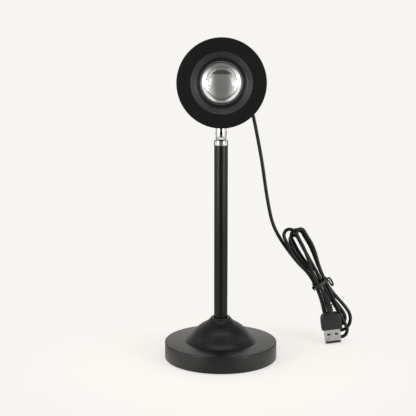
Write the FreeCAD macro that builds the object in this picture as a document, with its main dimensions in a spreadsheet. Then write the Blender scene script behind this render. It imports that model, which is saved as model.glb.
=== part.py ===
"""Sunset projection lamp: weighted round base, pole, tilting head with a ball lens, corded plug.

Millimetres, +Z up, the front of the lamp faces -Y.  The origin is the centre of the foot pad's
resting face.
"""
import FreeCAD, Part
import math
import os

import Sketcher

Vector = FreeCAD.Vector
# rise of a quarter circle above its chord, as a share of the circle's radius
QUARTER_RISE = 1 - math.cos(math.pi / 4)

# ---------------------------------------------------------------------------
# Driving dimensions.  Lengths in millimetres, angles in degrees.
# ---------------------------------------------------------------------------
DIMENSIONS = {
    # weighted base
    "base_radius": 40.0,
    "base_height": 12.4,
    "shell_wall": 1.6,
    "shell_lift": 0.5,
    "shell_edge": 0.9,
    "foot_pad_gap": 0.8,
    "foot_pad_height": 1.8,
    "weight_gap": 0.3,
    "nut_well_radius": 11.0,
    "nut_well_depth": 6.4,
    # pole fixing
    "nipple_radius": 3.9,
    "nipple_grip": 20.0,
    "thread_gap": 0.1,
    "washer_radius": 8.5,
    "washer_height": 1.2,
    "lock_washer_radius": 7.0,
    "lock_washer_height": 1.4,
    "lock_washer_slit": 1.0,
    "nut_flats": 13.0,
    "nut_height": 3.2,
    # dome cover over the pole fixing, heights above the base's top face
    "dome_foot_radius": 25.2,
    "dome_foot_height": 0.6,
    "dome_low_radius": 19.5,
    "dome_low_height": 6.0,
    "dome_high_radius": 10.6,
    "dome_high_height": 13.2,
    "dome_neck_radius": 7.1,
    "dome_neck_height": 16.2,
    "dome_lip_height": 1.3,
    "dome_foot_hollow": 0.35,
    "dome_shoulder_crown": 1.1,
    "dome_neck_hollow": 0.35,
    "dome_wall": 1.2,
    "pole_gap": 0.35,
    # pole
    "pole_radius": 4.8,
    "pole_wall": 0.8,
    "pole_length": 140.2,
    "plug_gap": 0.05,
    # swivel
    "collar_radius": 5.0,
    "collar_height": 4.0,
    "collar_edge": 0.35,
    "collar_plug_length": 10.6,
    "swivel_gap": 0.15,
    "running_gap": 0.05,
    "stem_radius": 3.75,
    "stem_height": 8.2,
    "stem_shoulder": 1.7,
    "stem_foot_edge": 0.4,
    "shank_radius": 2.5,
    "keeper_radius": 3.7,
    "keeper_height": 0.8,
    "keeper_screw_radius": 1.2,
    "keeper_head_radius": 2.3,
    "keeper_head_height": 1.5,
    "keeper_screw_grip": 6.0,
    # hinge at the top of the stem
    "hinge_slot": 1.6,
    "hinge_slot_depth": 7.6,
    "hinge_height": 4.15,
    "hinge_pin_radius": 1.0,
    "hinge_pin_inset": 0.2,
    "hinge_tab": 1.2,
    "hinge_tab_radius": 3.1,
    "bracket_width": 12.0,
    "bracket_depth": 11.0,
    "bracket_plate": 1.8,
    "bracket_reach": 10.8,
    "bracket_screw_spread": 3.8,
    # head, lengths along its axis measured forward from the pole axis
    "bezel_radius": 30.3,
    "bezel_front": 20.0,
    "bezel_thickness": 3.0,
    "bezel_edge": 0.7,
    "bezel_sleeve": 5.0,
    "seat_gap": 0.1,
    "housing_radius": 23.5,
    "housing_bore": 18.5,
    "housing_back": 8.0,
    "housing_flat_depth": 1.0,
    "housing_flat_length": 13.0,
    "web_front": 2.0,
    "web_thickness": 3.0,
    "rear_bore": 20.5,
    "wire_hole_radius": 2.0,
    "fin_first": 10.2,
    "fin_pitch": 3.2,
    "fin_slot": 1.5,
    "fin_depth": 2.2,
    "fin_count": 2,
    "spigot_length": 4.0,
    # front ring, lens and what lies behind it
    "ring_radius": 21.0,
    "ring_bore": 17.1,
    "ring_slope": 3.2,
    "ring_setback": 0.15,
    "lens_radius": 14.25,
    "lens_flange_radius": 16.6,
    "lens_flange_height": 1.4,
    "lens_crown": 7.6,
    "clamp_height": 1.2,
    "clamp_gap": 0.35,
    "spacer_height": 1.3,
    "filter_radius": 16.4,
    "filter_height": 1.1,
    "cup_height": 6.6,
    "cup_mouth": 13.0,
    "cup_throat": 6.2,
    "cup_wall": 0.9,
    "board_radius": 13.5,
    "board_height": 1.6,
    "board_screw_ring_radius": 11.0,
    "chip_radius": 4.6,
    "chip_height": 0.8,
    # rear of the head
    "cover_back": 13.0,
    "cover_wall": 1.8,
    "cover_edge": 2.6,
    "cover_seat_depth": 1.2,
    "cover_seat_gap": 0.3,
    "cover_post_ring_radius": 17.2,
    "cover_post_radius": 2.6,
    "cover_screw_radius": 1.15,
    "cover_screw_head": 2.2,
    "cover_screw_count": 3,
    "screw_hole_gap": 0.1,
    "control_board_radius": 13.6,
    "control_board_height": 1.6,
    "control_spacer_radius": 1.8,
    "control_spacer_height": 2.6,
    "control_spacer_ring_radius": 9.0,
    "control_chip_length": 6.0,
    "control_chip_width": 5.0,
    "control_chip_height": 1.6,
    "control_chip_rise": 1.0,
    "eye_window_radius": 3.2,
    "eye_window_flange": 0.8,
    # cord and its gland
    "cord_radius": 1.3,
    "cord_gap": 0.2,
    "gland_right": 15.5,
    "gland_drop": 7.0,
    "gland_root_radius": 3.0,
    "gland_tip_radius": 2.1,
    "gland_length": 8.0,
    "gland_neck_radius": 2.4,
    "gland_flange_radius": 3.2,
    "gland_rib_count": 3,
    # hank of cord and its tie
    "hank_right": 75.3,
    "hank_back": 40.4,
    "hank_height": 45.4,
    "hank_lean": 27.5,
    "hank_entry_side": 9.0,
    "hank_entry_up": 24.0,
    "hank_lead": 17.5,
    "hank_layer": 3.4,
    "hank_half_step": 1.65,
    "hank_waist": 0.85,
    "hank_lobe": 3.0,
    "hank_top": 39.8,
    "hank_bottom": 39.5,
    "hank_end_step": 2.0,
    "hank_fan": 0.8,
    "hank_top_sway": 1.2,
    "hank_bottom_sway": 0.4,
    "tie_width": 2.8,
    "tie_thickness": 0.9,
    "tie_gap": 0.35,
    "tie_wire_radius": 0.7,
    "tie_curl_radius": 1.9,
    # plug
    "tip_right": 85.1,
    "tip_back": 31.0,
    "tip_height": 1.05,
    "plug_lean": 7.0,
    "plug_width": 12.0,
    "plug_thickness": 4.5,
    "plug_wall": 0.35,
    "plug_reach": 10.6,
    "plug_root": 3.0,
    "plug_window": 2.2,
    "plug_window_spread": 2.9,
    "plug_window_height": 6.9,
    "tongue_thickness": 1.9,
    "tongue_gap": 0.1,
    "contact_width": 1.1,
    "contact_pitch": 2.4,
    "contact_height": 0.25,
    "contact_count": 4,
    "grip_width": 15.8,
    "grip_thickness": 7.6,
    "grip_length": 12.6,
    "grip_edge": 1.6,
    "grip_shoulder": 3.4,
    "boot_radius": 2.7,
    "boot_tip_radius": 2.2,
    "boot_length": 6.2,
    "boot_rib_count": 3,
}

doc = FreeCAD.newDocument("SunsetLamp")
sheet = doc.addObject("Spreadsheet::Sheet", "Sizes")
for row, (word, number) in enumerate(DIMENSIONS.items(), start=1):
    sheet.set("A" + str(row), word)
    sheet.set("B" + str(row), str(number))
    sheet.setAlias("B" + str(row), word)
doc.recompute()


class Size:
    """A number together with the sheet expression that gives it."""

    def __init__(self, value, text):
        self.value = float(value)
        self.text = text

    @staticmethod
    def of(item):
        if isinstance(item, Size):
            return item
        return Size(item, repr(item))

    def __add__(self, other):
        other = Size.of(other)
        return Size(self.value + other.value, "(" + self.text + " + " + other.text + ")")

    def __sub__(self, other):
        other = Size.of(other)
        return Size(self.value - other.value, "(" + self.text + " - " + other.text + ")")

    def __mul__(self, other):
        other = Size.of(other)
        return Size(self.value * other.value, "(" + self.text + " * " + other.text + ")")

    def __truediv__(self, other):
        other = Size.of(other)
        return Size(self.value / other.value, "(" + self.text + " / " + other.text + ")")

    def __neg__(self):
        return Size(-self.value, "(0 - " + self.text + ")")

    __radd__ = __add__
    __rmul__ = __mul__

    def __rsub__(self, other):
        return Size.of(other) - self


class Sizes:
    """Reads a named size from the sheet."""

    def __getattr__(self, word):
        return Size(sheet.get(word), "Sizes." + word)


S = Sizes()
ZERO = Size(0.0, "0")
PIECES = []


def bind(item, name, size):
    """Tie one property of an object to its sheet expression."""
    item.setExpression(name, Size.of(size).text)


def place(item, x=ZERO, y=ZERO, z=ZERO, axis=None, angle=0.0):
    """Put an object down: its turn is set, its position follows the sheet."""
    turn = FreeCAD.Rotation(axis or Vector(0, 0, 1), angle)
    spot = Vector(Size.of(x).value, Size.of(y).value, Size.of(z).value)
    item.Placement = FreeCAD.Placement(spot, turn)
    bind(item, "Placement.Base.x", x)
    bind(item, "Placement.Base.y", y)
    bind(item, "Placement.Base.z", z)


def keep(item, label):
    """Name an object as a finished piece."""
    item.Label = label
    PIECES.append(item)
    return item


def new_body(name):
    return doc.addObject("PartDesign::Body", name)


def origin_part(body, role):
    return [item for item in body.Origin.OriginFeatures if item.Role == role][0]


def new_sketch(body, name, role="XZ_Plane"):
    sketch = body.newObject("Sketcher::SketchObject", name)
    sketch.AttachmentSupport = [(origin_part(body, role), "")]
    sketch.MapMode = "FlatFace"
    return sketch


def pin_vertex(sketch, geometry, end, across, up, name):
    """Fix one vertex of a sketch at a distance from the origin along each axis."""
    for kind, size, line in (("DistanceX", across, -2), ("DistanceY", up, -1)):
        size = Size.of(size)
        if abs(size.value) < 1e-9:
            sketch.addConstraint(Sketcher.Constraint("PointOnObject", geometry, end, line))
            continue
        index = sketch.addConstraint(Sketcher.Constraint(kind, -1, 1, geometry, end, size.value))
        label = name + kind[-1]
        sketch.renameConstraint(index, label)
        sketch.setExpression("Constraints." + label, size.text)


def outline(sketch, vertices, name="p"):
    """Draw a closed outline.  A vertex is (across, up) or (across, up, crown).

    The crown bends the side that leaves the vertex: it is the arc's rise above its chord, to
    the left of the way it runs when it is positive.
    """
    count = len(vertices)
    sides = []
    for index, vertex in enumerate(vertices):
        after = vertices[(index + 1) % count]
        start = Vector(Size.of(vertex[0]).value, Size.of(vertex[1]).value, 0)
        finish = Vector(Size.of(after[0]).value, Size.of(after[1]).value, 0)
        if len(vertex) < 3:
            side = sketch.addGeometry(Part.LineSegment(start, finish), False)
            sides.append((side, 1, 2))
            continue
        crown = Size.of(vertex[2])
        chord = finish - start
        rise = abs(crown.value)
        radius = (chord.Length ** 2 / 4 + rise ** 2) / (2 * rise)
        left = Vector(-chord.y, chord.x, 0).normalize()
        centre = (start + finish) * 0.5 + left * (crown.value - math.copysign(radius, crown.value))
        circle = Part.Circle(centre, Vector(0, 0, 1), radius)
        first, last = (finish, start) if crown.value > 0 else (start, finish)
        arc = Part.ArcOfCircle(
            circle,
            math.atan2(first.y - centre.y, first.x - centre.x),
            math.atan2(last.y - centre.y, last.x - centre.x),
        )
        side = sketch.addGeometry(arc, False)
        sides.append((side, 2, 1) if crown.value > 0 else (side, 1, 2))
        across = Size.of(after[0]) - Size.of(vertex[0])
        up = Size.of(after[1]) - Size.of(vertex[1])
        height = crown if crown.value > 0 else -crown
        bend = (across * across + up * up) / (height * 8) + height / 2
        index_radius = sketch.addConstraint(Sketcher.Constraint("Radius", side, bend.value))
        label = name + "bend" + str(index)
        sketch.renameConstraint(index_radius, label)
        sketch.setExpression("Constraints." + label, bend.text)
    for index, (side, start, finish) in enumerate(sides):
        after = sides[(index + 1) % count]
        sketch.addConstraint(Sketcher.Constraint("Coincident", side, finish, after[0], after[1]))
    for index, (side, start, finish) in enumerate(sides):
        vertex = vertices[index]
        pin_vertex(sketch, side, start, vertex[0], vertex[1], name + str(index))


def circle(sketch, across, up, radius, name):
    """Draw a circle whose centre and radius follow the sheet."""
    across, up, radius = Size.of(across), Size.of(up), Size.of(radius)
    centre = Vector(across.value, up.value, 0)
    side = sketch.addGeometry(Part.Circle(centre, Vector(0, 0, 1), radius.value), False)
    index = sketch.addConstraint(Sketcher.Constraint("Radius", side, radius.value))
    sketch.renameConstraint(index, name + "r")
    sketch.setExpression("Constraints." + name + "r", radius.text)
    pin_vertex(sketch, side, 3, across, up, name)


def box_outline(left, low, right, high):
    return [(left, low), (right, low), (right, high), (left, high)]


def turned(name, vertices):
    """A body turned about its own Z axis from an outline in (radius, height)."""
    body = new_body(name)
    sketch = new_sketch(body, name + "_profile")
    outline(sketch, vertices)
    turn = body.newObject("PartDesign::Revolution", name + "_turn")
    turn.Profile = sketch
    turn.ReferenceAxis = (sketch, ["V_Axis"])
    turn.Angle = 360.0
    body.Tip = turn
    return body


def padded(body, name, length, role="XY_Plane", middle=False):
    """Start a pad on one of the body's own planes; the caller draws in the sketch."""
    sketch = new_sketch(body, name + "_sketch", role)
    pad = body.newObject("PartDesign::Pad", name)
    pad.Profile = sketch
    pad.Midplane = middle
    bind(pad, "Length", length)
    body.Tip = pad
    return sketch


def pocketed(body, name, role="XY_Plane", offset=ZERO, length=None, flip=False, middle=False):
    """Start a pocket on one of the body's own planes; the caller draws in the sketch."""
    sketch = new_sketch(body, name + "_sketch", role)
    bind(sketch, "AttachmentOffset.Base.z", offset)
    pocket = body.newObject("PartDesign::Pocket", name)
    pocket.Profile = sketch
    pocket.Midplane = middle
    pocket.Reversed = flip
    if length is None:
        pocket.Type = "ThroughAll"
    else:
        bind(pocket, "Length", length)
    body.Tip = pocket
    return sketch


def ring_outline(bore, radius, low, high):
    return box_outline(bore, low, radius, high)


def in_head(item, across=ZERO, up=ZERO, forward=ZERO):
    """Place a piece whose own Z axis is the head's forward axis."""
    place(item, across, -Size.of(forward), head_level + up, Vector(1, 0, 0), 90.0)


def polar(radius, number, count, phase):
    """The centre of one of a ring of equal places, as two sizes."""
    angle = math.radians(phase + 360.0 * number / Size.of(count).value)
    return radius * math.cos(angle), radius * math.sin(angle)


def lens_bulge(radius, crown):
    """Rise of the half arc from a dome's rim to its top, above that half's own chord."""
    full = (radius.value ** 2 + crown.value ** 2) / (2 * crown.value)
    half_chord = math.hypot(radius.value, crown.value) / 2
    ratio = (full - math.sqrt(full ** 2 - half_chord ** 2)) / crown.value
    return crown * ratio


def screws(name, radius, head_radius, head_height, length):
    """A pan-head screw standing on its head's seat, its shank up its own Z axis."""
    head_radius, length = Size.of(head_radius), Size.of(length)
    return turned(name + "_master", [
        (ZERO, -Size.of(head_height)),
        (head_radius * 0.75, -Size.of(head_height)),
        (head_radius, -Size.of(head_height) * 0.6),
        (head_radius, ZERO),
        (radius, ZERO),
        (radius, length),
        (ZERO, length),
    ])


def row_of(master, spots, turn, label=None):
    """Copies of one fastener as one piece."""
    doc.recompute()
    copies = []
    for spot in spots:
        copy = master.Shape.copy()
        copy.Placement = FreeCAD.Placement(Vector(*spot), turn)
        copies.append(copy)
    label = label or master.Name.replace("_master", "")
    group = doc.addObject("Part::Feature", label + "_set")
    group.Shape = Part.makeCompound(copies)
    return keep(group, label)


# ---------------------------------------------------------------------------
# Weighted base
# ---------------------------------------------------------------------------
shell_bore = S.base_radius - S.shell_wall
foot_pad_radius = shell_bore - S.foot_pad_gap
foot_pad = keep(turned("foot_pad", [
    (ZERO, ZERO),
    (foot_pad_radius, ZERO),
    (foot_pad_radius, S.foot_pad_height),
    (ZERO, S.foot_pad_height),
]), "foot_pad")

shell_ceiling = S.base_height - S.shell_wall
pole_seat = S.nipple_radius + S.thread_gap
edge_crown = S.shell_edge * QUARTER_RISE
base_shell = keep(turned("base_shell", [
    (S.base_radius, S.shell_lift),
    (S.base_radius, S.base_height - S.shell_edge, -edge_crown),
    (S.base_radius - S.shell_edge, S.base_height),
    (pole_seat, S.base_height),
    (pole_seat, shell_ceiling),
    (shell_bore, shell_ceiling),
    (shell_bore, S.shell_lift),
]), "base_shell")

well_ceiling = S.foot_pad_height + S.nut_well_depth
base_weight = keep(turned("base_weight", [
    (S.nut_well_radius, S.foot_pad_height),
    (shell_bore - S.weight_gap, S.foot_pad_height),
    (shell_bore - S.weight_gap, shell_ceiling),
    (pole_seat, shell_ceiling),
    (pole_seat, well_ceiling),
    (S.nut_well_radius, well_ceiling),
]), "base_weight")

washer_floor = well_ceiling - S.washer_height
washer = keep(turned("base_washer", ring_outline(
    pole_seat, S.washer_radius, washer_floor, well_ceiling)), "base_washer")

lock_floor = washer_floor - S.lock_washer_height
lock_washer = turned("lock_washer", ring_outline(
    pole_seat, S.lock_washer_radius, lock_floor, washer_floor))
slit = pocketed(lock_washer, "lock_washer_cut", flip=True)
outline(slit, box_outline(
    ZERO, -S.lock_washer_slit / 2, S.lock_washer_radius * 2, S.lock_washer_slit / 2))
keep(lock_washer, "lock_washer")

nut_floor = lock_floor - S.nut_height
base_nut = new_body("base_nut")
nut_sketch = padded(base_nut, "base_nut_pad", S.nut_height)
nut_corner = S.nut_flats / 2 * 1.1547005
outline(nut_sketch, [
    (nut_corner, ZERO),
    (nut_corner / 2, S.nut_flats / 2),
    (-nut_corner / 2, S.nut_flats / 2),
    (-nut_corner, ZERO),
    (-nut_corner / 2, -S.nut_flats / 2),
    (nut_corner / 2, -S.nut_flats / 2),
])
circle(nut_sketch, ZERO, ZERO, pole_seat, "bore")
place(base_nut, z=nut_floor)
keep(base_nut, "base_nut")

nipple_floor = nut_floor - S.thread_gap
nipple_top = S.base_height + S.nipple_grip
nipple = keep(turned("pole_nipple", [
    (ZERO, nipple_floor),
    (S.nipple_radius, nipple_floor),
    (S.nipple_radius, nipple_top),
    (ZERO, nipple_top),
]), "pole_nipple")

# ---------------------------------------------------------------------------
# Dome cover: hollow foot, full shoulder, hollow neck and a rolled lip
# ---------------------------------------------------------------------------
top_face = S.base_height
lip_bore = S.pole_radius + S.pole_gap
lip_top = top_face + S.dome_neck_height + S.dome_lip_height
lip_side = S.dome_neck_radius - lip_bore
dome_cover = keep(turned("dome_cover", [
    (S.dome_foot_radius, top_face),
    (S.dome_foot_radius, top_face + S.dome_foot_height, S.dome_foot_hollow),
    (S.dome_low_radius, top_face + S.dome_low_height, -S.dome_shoulder_crown),
    (S.dome_high_radius, top_face + S.dome_high_height, S.dome_neck_hollow),
    (S.dome_neck_radius, top_face + S.dome_neck_height, -S.dome_lip_height * 0.35),
    (lip_bore + lip_side * 0.35, lip_top),
    (lip_bore, lip_top - S.dome_lip_height * 0.3),
    (lip_bore, top_face + S.dome_neck_height - S.dome_wall),
    (S.dome_high_radius - S.dome_wall * 0.55, top_face + S.dome_high_height - S.dome_wall,
     S.dome_shoulder_crown),
    (S.dome_low_radius - S.dome_wall, top_face + S.dome_low_height - S.dome_wall * 0.6,
     -S.dome_foot_hollow),
    (S.dome_foot_radius - S.dome_wall * 1.6, top_face),
]), "dome_cover")

# ---------------------------------------------------------------------------
# Pole and the swivel at its top
# ---------------------------------------------------------------------------
pole_bore = S.pole_radius - S.pole_wall
pole_top = top_face + S.pole_length
pole = keep(turned("pole_tube", ring_outline(
    pole_bore, S.pole_radius, top_face, pole_top)), "pole_tube")

collar_top = pole_top + S.collar_height
collar_floor = pole_top - S.collar_plug_length
shank_bore = S.shank_radius + S.running_gap
collar = keep(turned("swivel_collar", [
    (shank_bore, collar_floor),
    (pole_bore - S.plug_gap, collar_floor),
    (pole_bore - S.plug_gap, pole_top),
    (S.collar_radius, pole_top),
    (S.collar_radius, collar_top - S.collar_edge),
    (S.collar_radius - S.collar_edge, collar_top),
    (shank_bore, collar_top),
]), "swivel_collar")

stem_floor = collar_top + S.swivel_gap
stem_top = stem_floor + S.stem_height
shank_end = collar_floor - S.swivel_gap
keeper_bore = S.keeper_screw_radius + S.running_gap
stem = turned("swivel_stem", [
    (keeper_bore, shank_end),
    (S.shank_radius, shank_end),
    (S.shank_radius, stem_floor),
    (S.stem_radius - S.stem_foot_edge, stem_floor),
    (S.stem_radius, stem_floor + S.stem_foot_edge),
    (S.stem_radius, stem_top - S.stem_shoulder, -S.stem_shoulder * QUARTER_RISE),
    (S.stem_radius - S.stem_shoulder, stem_top),
    (ZERO, stem_top),
    (ZERO, shank_end + S.keeper_screw_grip),
    (keeper_bore, shank_end + S.keeper_screw_grip),
])
hinge_level = stem_floor + S.hinge_height
plate_floor = hinge_level + S.bracket_reach
housing_flat = S.housing_radius - S.housing_flat_depth
flat_level = plate_floor + S.bracket_plate
head_level = flat_level + housing_flat
slot = pocketed(stem, "stem_slot", "XZ_Plane", middle=True)
outline(slot, box_outline(
    -S.hinge_slot / 2, stem_top - S.hinge_slot_depth, S.hinge_slot / 2, stem_top + 1))
eye = pocketed(stem, "stem_eye", "YZ_Plane", middle=True)
circle(eye, ZERO, hinge_level, S.hinge_pin_radius, "eye")
keep(stem, "swivel_stem")

keeper = keep(turned("swivel_keeper", ring_outline(
    keeper_bore, S.keeper_radius, shank_end - S.keeper_height, shank_end)), "swivel_keeper")
keeper_seat = shank_end - S.keeper_height
keeper_screw = keep(turned("keeper_screw", [
    (ZERO, keeper_seat - S.keeper_head_height),
    (S.keeper_head_radius, keeper_seat - S.keeper_head_height),
    (S.keeper_head_radius, keeper_seat),
    (S.keeper_screw_radius, keeper_seat),
    (S.keeper_screw_radius, shank_end + S.keeper_screw_grip - S.swivel_gap),
    (ZERO, shank_end + S.keeper_screw_grip - S.swivel_gap),
]), "keeper_screw")

hinge_pin = doc.addObject("Part::Cylinder", "hinge_pin")
bind(hinge_pin, "Radius", S.hinge_pin_radius)
pin_reach = S.stem_radius - S.hinge_pin_inset
bind(hinge_pin, "Height", pin_reach * 2)
place(hinge_pin, -pin_reach, ZERO, hinge_level, Vector(0, 1, 0), 90.0)
keep(hinge_pin, "hinge_pin")

# ---------------------------------------------------------------------------
# Hinge bracket under the head: a plate on the housing's flat and a tab in the stem's slot
# ---------------------------------------------------------------------------
bracket = new_body("hinge_bracket")
plate = padded(bracket, "bracket_plate_pad", S.bracket_plate)
outline(plate, box_outline(
    -S.bracket_width / 2, -S.bracket_depth / 2, S.bracket_width / 2, S.bracket_depth / 2))
for side, word in ((-1, "left"), (1, "right")):
    circle(plate, S.bracket_screw_spread * side, ZERO,
           S.cover_screw_radius + S.screw_hole_gap, word)
tab = padded(bracket, "bracket_tab", S.hinge_tab, "YZ_Plane", middle=True)
tab_drop = hinge_level - plate_floor
tab_round = S.hinge_tab_radius * QUARTER_RISE
outline(tab, [
    (-S.hinge_tab_radius, tab_drop, -tab_round),
    (ZERO, tab_drop - S.hinge_tab_radius, -tab_round),
    (S.hinge_tab_radius, tab_drop),
    (S.hinge_tab_radius, S.bracket_plate / 2),
    (-S.hinge_tab_radius, S.bracket_plate / 2),
])
circle(tab, ZERO, tab_drop, S.hinge_pin_radius + S.running_gap, "eye")
place(bracket, z=plate_floor)
keep(bracket, "hinge_bracket")

# ---------------------------------------------------------------------------
# Housing: bored from both sides with a web between, ring fins and a flat for the bracket
# ---------------------------------------------------------------------------
bezel_back = S.bezel_front - S.bezel_thickness
sleeve_back = bezel_back - S.bezel_sleeve
bezel_bore = S.ring_radius + S.seat_gap
spigot_radius = bezel_bore - S.seat_gap * 2
spigot_front = sleeve_back + S.spigot_length
web_back = S.web_front - S.web_thickness
back_rim = -S.housing_back
housing_outline = [
    (S.housing_bore, S.web_front),
    (S.housing_bore, spigot_front),
    (spigot_radius, spigot_front),
    (spigot_radius, sleeve_back - S.seat_gap),
    (S.housing_radius, sleeve_back - S.seat_gap),
]
for number in range(int(S.fin_count.value)):
    slot_front = S.fin_first - S.fin_pitch * number - 1.0
    housing_outline += [
        (S.housing_radius, slot_front),
        (S.housing_radius - S.fin_depth, slot_front),
        (S.housing_radius - S.fin_depth, slot_front - S.fin_slot),
        (S.housing_radius, slot_front - S.fin_slot),
    ]
housing_outline += [
    (S.housing_radius, back_rim),
    (S.rear_bore, back_rim),
    (S.rear_bore, web_back),
    (S.wire_hole_radius, web_back),
    (S.wire_hole_radius, S.web_front),
]
housing = turned("head_housing", housing_outline)
flat = pocketed(housing, "housing_flat_cut", "XZ_Plane", offset=housing_flat,
                length=S.housing_radius, flip=True)
outline(flat, box_outline(
    -S.housing_radius, -S.housing_flat_length / 2, S.housing_radius,
    S.housing_flat_length / 2))
screw_hole = S.cover_screw_radius + S.screw_hole_gap
web_holes = pocketed(housing, "housing_web_holes", middle=True)
for number in range(int(S.cover_screw_count.value)):
    spot = polar(S.cover_post_ring_radius, number, S.cover_screw_count, -90.0)
    circle(web_holes, spot[0], spot[1], screw_hole, "post" + str(number))
for side, word in ((-1, "left"), (1, "right")):
    circle(web_holes, S.board_screw_ring_radius * side, ZERO, screw_hole, word)
under_holes = pocketed(housing, "housing_under_holes", "XZ_Plane", offset=S.housing_bore,
                       flip=True)
for side, word in ((-1, "left"), (1, "right")):
    circle(under_holes, S.bracket_screw_spread * side, ZERO, screw_hole, word)
keep(housing, "head_housing")
in_head(housing)

bracket_screws = screws("bracket_screws", S.cover_screw_radius, S.cover_screw_head, 1.3,
                        S.bracket_plate + housing_flat - S.housing_bore - 0.4)
row_of(bracket_screws, [
    ((S.bracket_screw_spread * side).value, 0.0, plate_floor.value) for side in (-1, 1)],
    FreeCAD.Rotation())

# ---------------------------------------------------------------------------
# Front of the head: bezel disc, bevelled ring, lens stack and lamp board
# ---------------------------------------------------------------------------
bezel = keep(turned("front_bezel", [
    (bezel_bore, sleeve_back),
    (S.housing_radius, sleeve_back),
    (S.housing_radius, bezel_back),
    (S.bezel_radius - S.bezel_edge / 2, bezel_back),
    (S.bezel_radius, bezel_back + S.bezel_edge / 2),
    (S.bezel_radius, S.bezel_front - S.bezel_edge, -S.bezel_edge * QUARTER_RISE),
    (S.bezel_radius - S.bezel_edge, S.bezel_front),
    (bezel_bore, S.bezel_front),
]), "front_bezel")
in_head(bezel)

ring_front = S.bezel_front - S.ring_setback
bevel_ring = keep(turned("bevel_ring", [
    (S.ring_bore, spigot_front),
    (S.ring_radius, spigot_front),
    (S.ring_radius, ring_front),
    (S.ring_radius - 0.4, ring_front),
    (S.ring_bore, ring_front - S.ring_slope),
]), "bevel_ring")
in_head(bevel_ring)

board_front = S.web_front + S.board_height
lamp_board = new_body("lamp_board")
board_sketch = padded(lamp_board, "lamp_board_pad", S.board_height)
circle(board_sketch, ZERO, ZERO, S.board_radius, "rim")
for side, word in ((-1, "left"), (1, "right")):
    circle(board_sketch, S.board_screw_ring_radius * side, ZERO, screw_hole, word)
keep(lamp_board, "lamp_board")
in_head(lamp_board, forward=S.web_front)

lamp_chip = doc.addObject("Part::Cylinder", "lamp_chip")
bind(lamp_chip, "Radius", S.chip_radius)
bind(lamp_chip, "Height", S.chip_height)
keep(lamp_chip, "lamp_chip")
in_head(lamp_chip, forward=board_front)

board_screws = screws("board_screws", S.cover_screw_radius, S.cover_screw_head, 1.2,
                      S.board_height + S.web_thickness - 0.6)
row_of(board_screws, [
    ((S.board_screw_ring_radius * side).value, -(board_front + 1.2).value, head_level.value)
    for side in (-1, 1)], FreeCAD.Rotation(Vector(1, 0, 0), -90.0))

cup_front = board_front + S.cup_height
slide_fit = S.housing_bore - S.seat_gap
light_cup = keep(turned("light_cup", [
    (S.cup_throat, board_front + S.chip_height + 0.8),
    (S.cup_throat + S.cup_wall, board_front + S.chip_height + 0.8),
    (S.cup_mouth + S.cup_wall, cup_front - S.cup_wall),
    (slide_fit - S.cup_wall, cup_front - S.cup_wall),
    (slide_fit - S.cup_wall, S.web_front),
    (slide_fit, S.web_front),
    (slide_fit, cup_front),
    (S.cup_mouth, cup_front),
]), "light_cup")
in_head(light_cup)

filter_disc = doc.addObject("Part::Cylinder", "filter_disc")
bind(filter_disc, "Radius", S.filter_radius)
bind(filter_disc, "Height", S.filter_height)
keep(filter_disc, "filter_disc")
in_head(filter_disc, forward=cup_front)

filter_front = cup_front + S.filter_height
lens_back = filter_front + S.spacer_height
spacer = keep(turned("lens_spacer", ring_outline(
    S.lens_radius, slide_fit, filter_front, lens_back)), "lens_spacer")
in_head(spacer)

flange_front = lens_back + S.lens_flange_height
lens = keep(turned("ball_lens", [
    (ZERO, lens_back),
    (S.lens_flange_radius, lens_back),
    (S.lens_flange_radius, flange_front),
    (S.lens_radius, flange_front, -lens_bulge(S.lens_radius, S.lens_crown)),
    (ZERO, flange_front + S.lens_crown),
]), "ball_lens")
in_head(lens)

clamp_bore = S.lens_radius + S.clamp_gap
clamp = keep(turned("lens_clamp", [
    (clamp_bore, flange_front),
    (slide_fit, flange_front),
    (slide_fit, spigot_front),
    (slide_fit - S.cup_wall, spigot_front),
    (clamp_bore + S.cup_wall, flange_front + S.clamp_height),
    (clamp_bore, flange_front + S.clamp_height),
]), "lens_clamp")
in_head(clamp)

# ---------------------------------------------------------------------------
# Rear of the head: cover with posts, control board on spacers, receiver eye and cord gland
# ---------------------------------------------------------------------------
cover_inside = S.cover_back - S.cover_wall
post_reach = S.cover_back + web_back - S.seat_gap
cover_fit = S.rear_bore - S.seat_gap
rear_cover = turned("rear_cover", [
    (ZERO, -S.cover_back),
    (S.housing_radius - S.cover_edge, -S.cover_back, -S.cover_edge * QUARTER_RISE),
    (S.housing_radius, -S.cover_back + S.cover_edge),
    (S.housing_radius, back_rim),
    (cover_fit, back_rim),
    (cover_fit, back_rim + S.cover_wall),
    (cover_fit - S.cover_wall, back_rim + S.cover_wall),
    (cover_fit - S.cover_wall, -cover_inside + S.cover_wall),
    (cover_fit - S.cover_wall * 2, -cover_inside),
    (ZERO, -cover_inside),
])
posts = new_sketch(rear_cover, "cover_posts_sketch", "XY_Plane")
bind(posts, "AttachmentOffset.Base.z", -cover_inside - S.cover_wall / 2)
post_pad = rear_cover.newObject("PartDesign::Pad", "cover_posts")
post_pad.Profile = posts
bind(post_pad, "Length", cover_inside + web_back - S.seat_gap + S.cover_wall / 2)
rear_cover.Tip = post_pad
cover_holes = pocketed(rear_cover, "cover_screw_holes", middle=True)
cover_sinks = pocketed(rear_cover, "cover_screw_sinks", offset=-S.cover_back,
                       length=S.cover_wall * 0.7, flip=True)
for number in range(int(S.cover_screw_count.value)):
    spot = polar(S.cover_post_ring_radius, number, S.cover_screw_count, -90.0)
    word = "post" + str(number)
    circle(posts, spot[0], spot[1], S.cover_post_radius, word)
    circle(cover_holes, spot[0], spot[1], screw_hole, word)
    circle(cover_sinks, spot[0], spot[1], S.cover_screw_head + S.screw_hole_gap, word)
gland_up = -S.gland_drop
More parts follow.
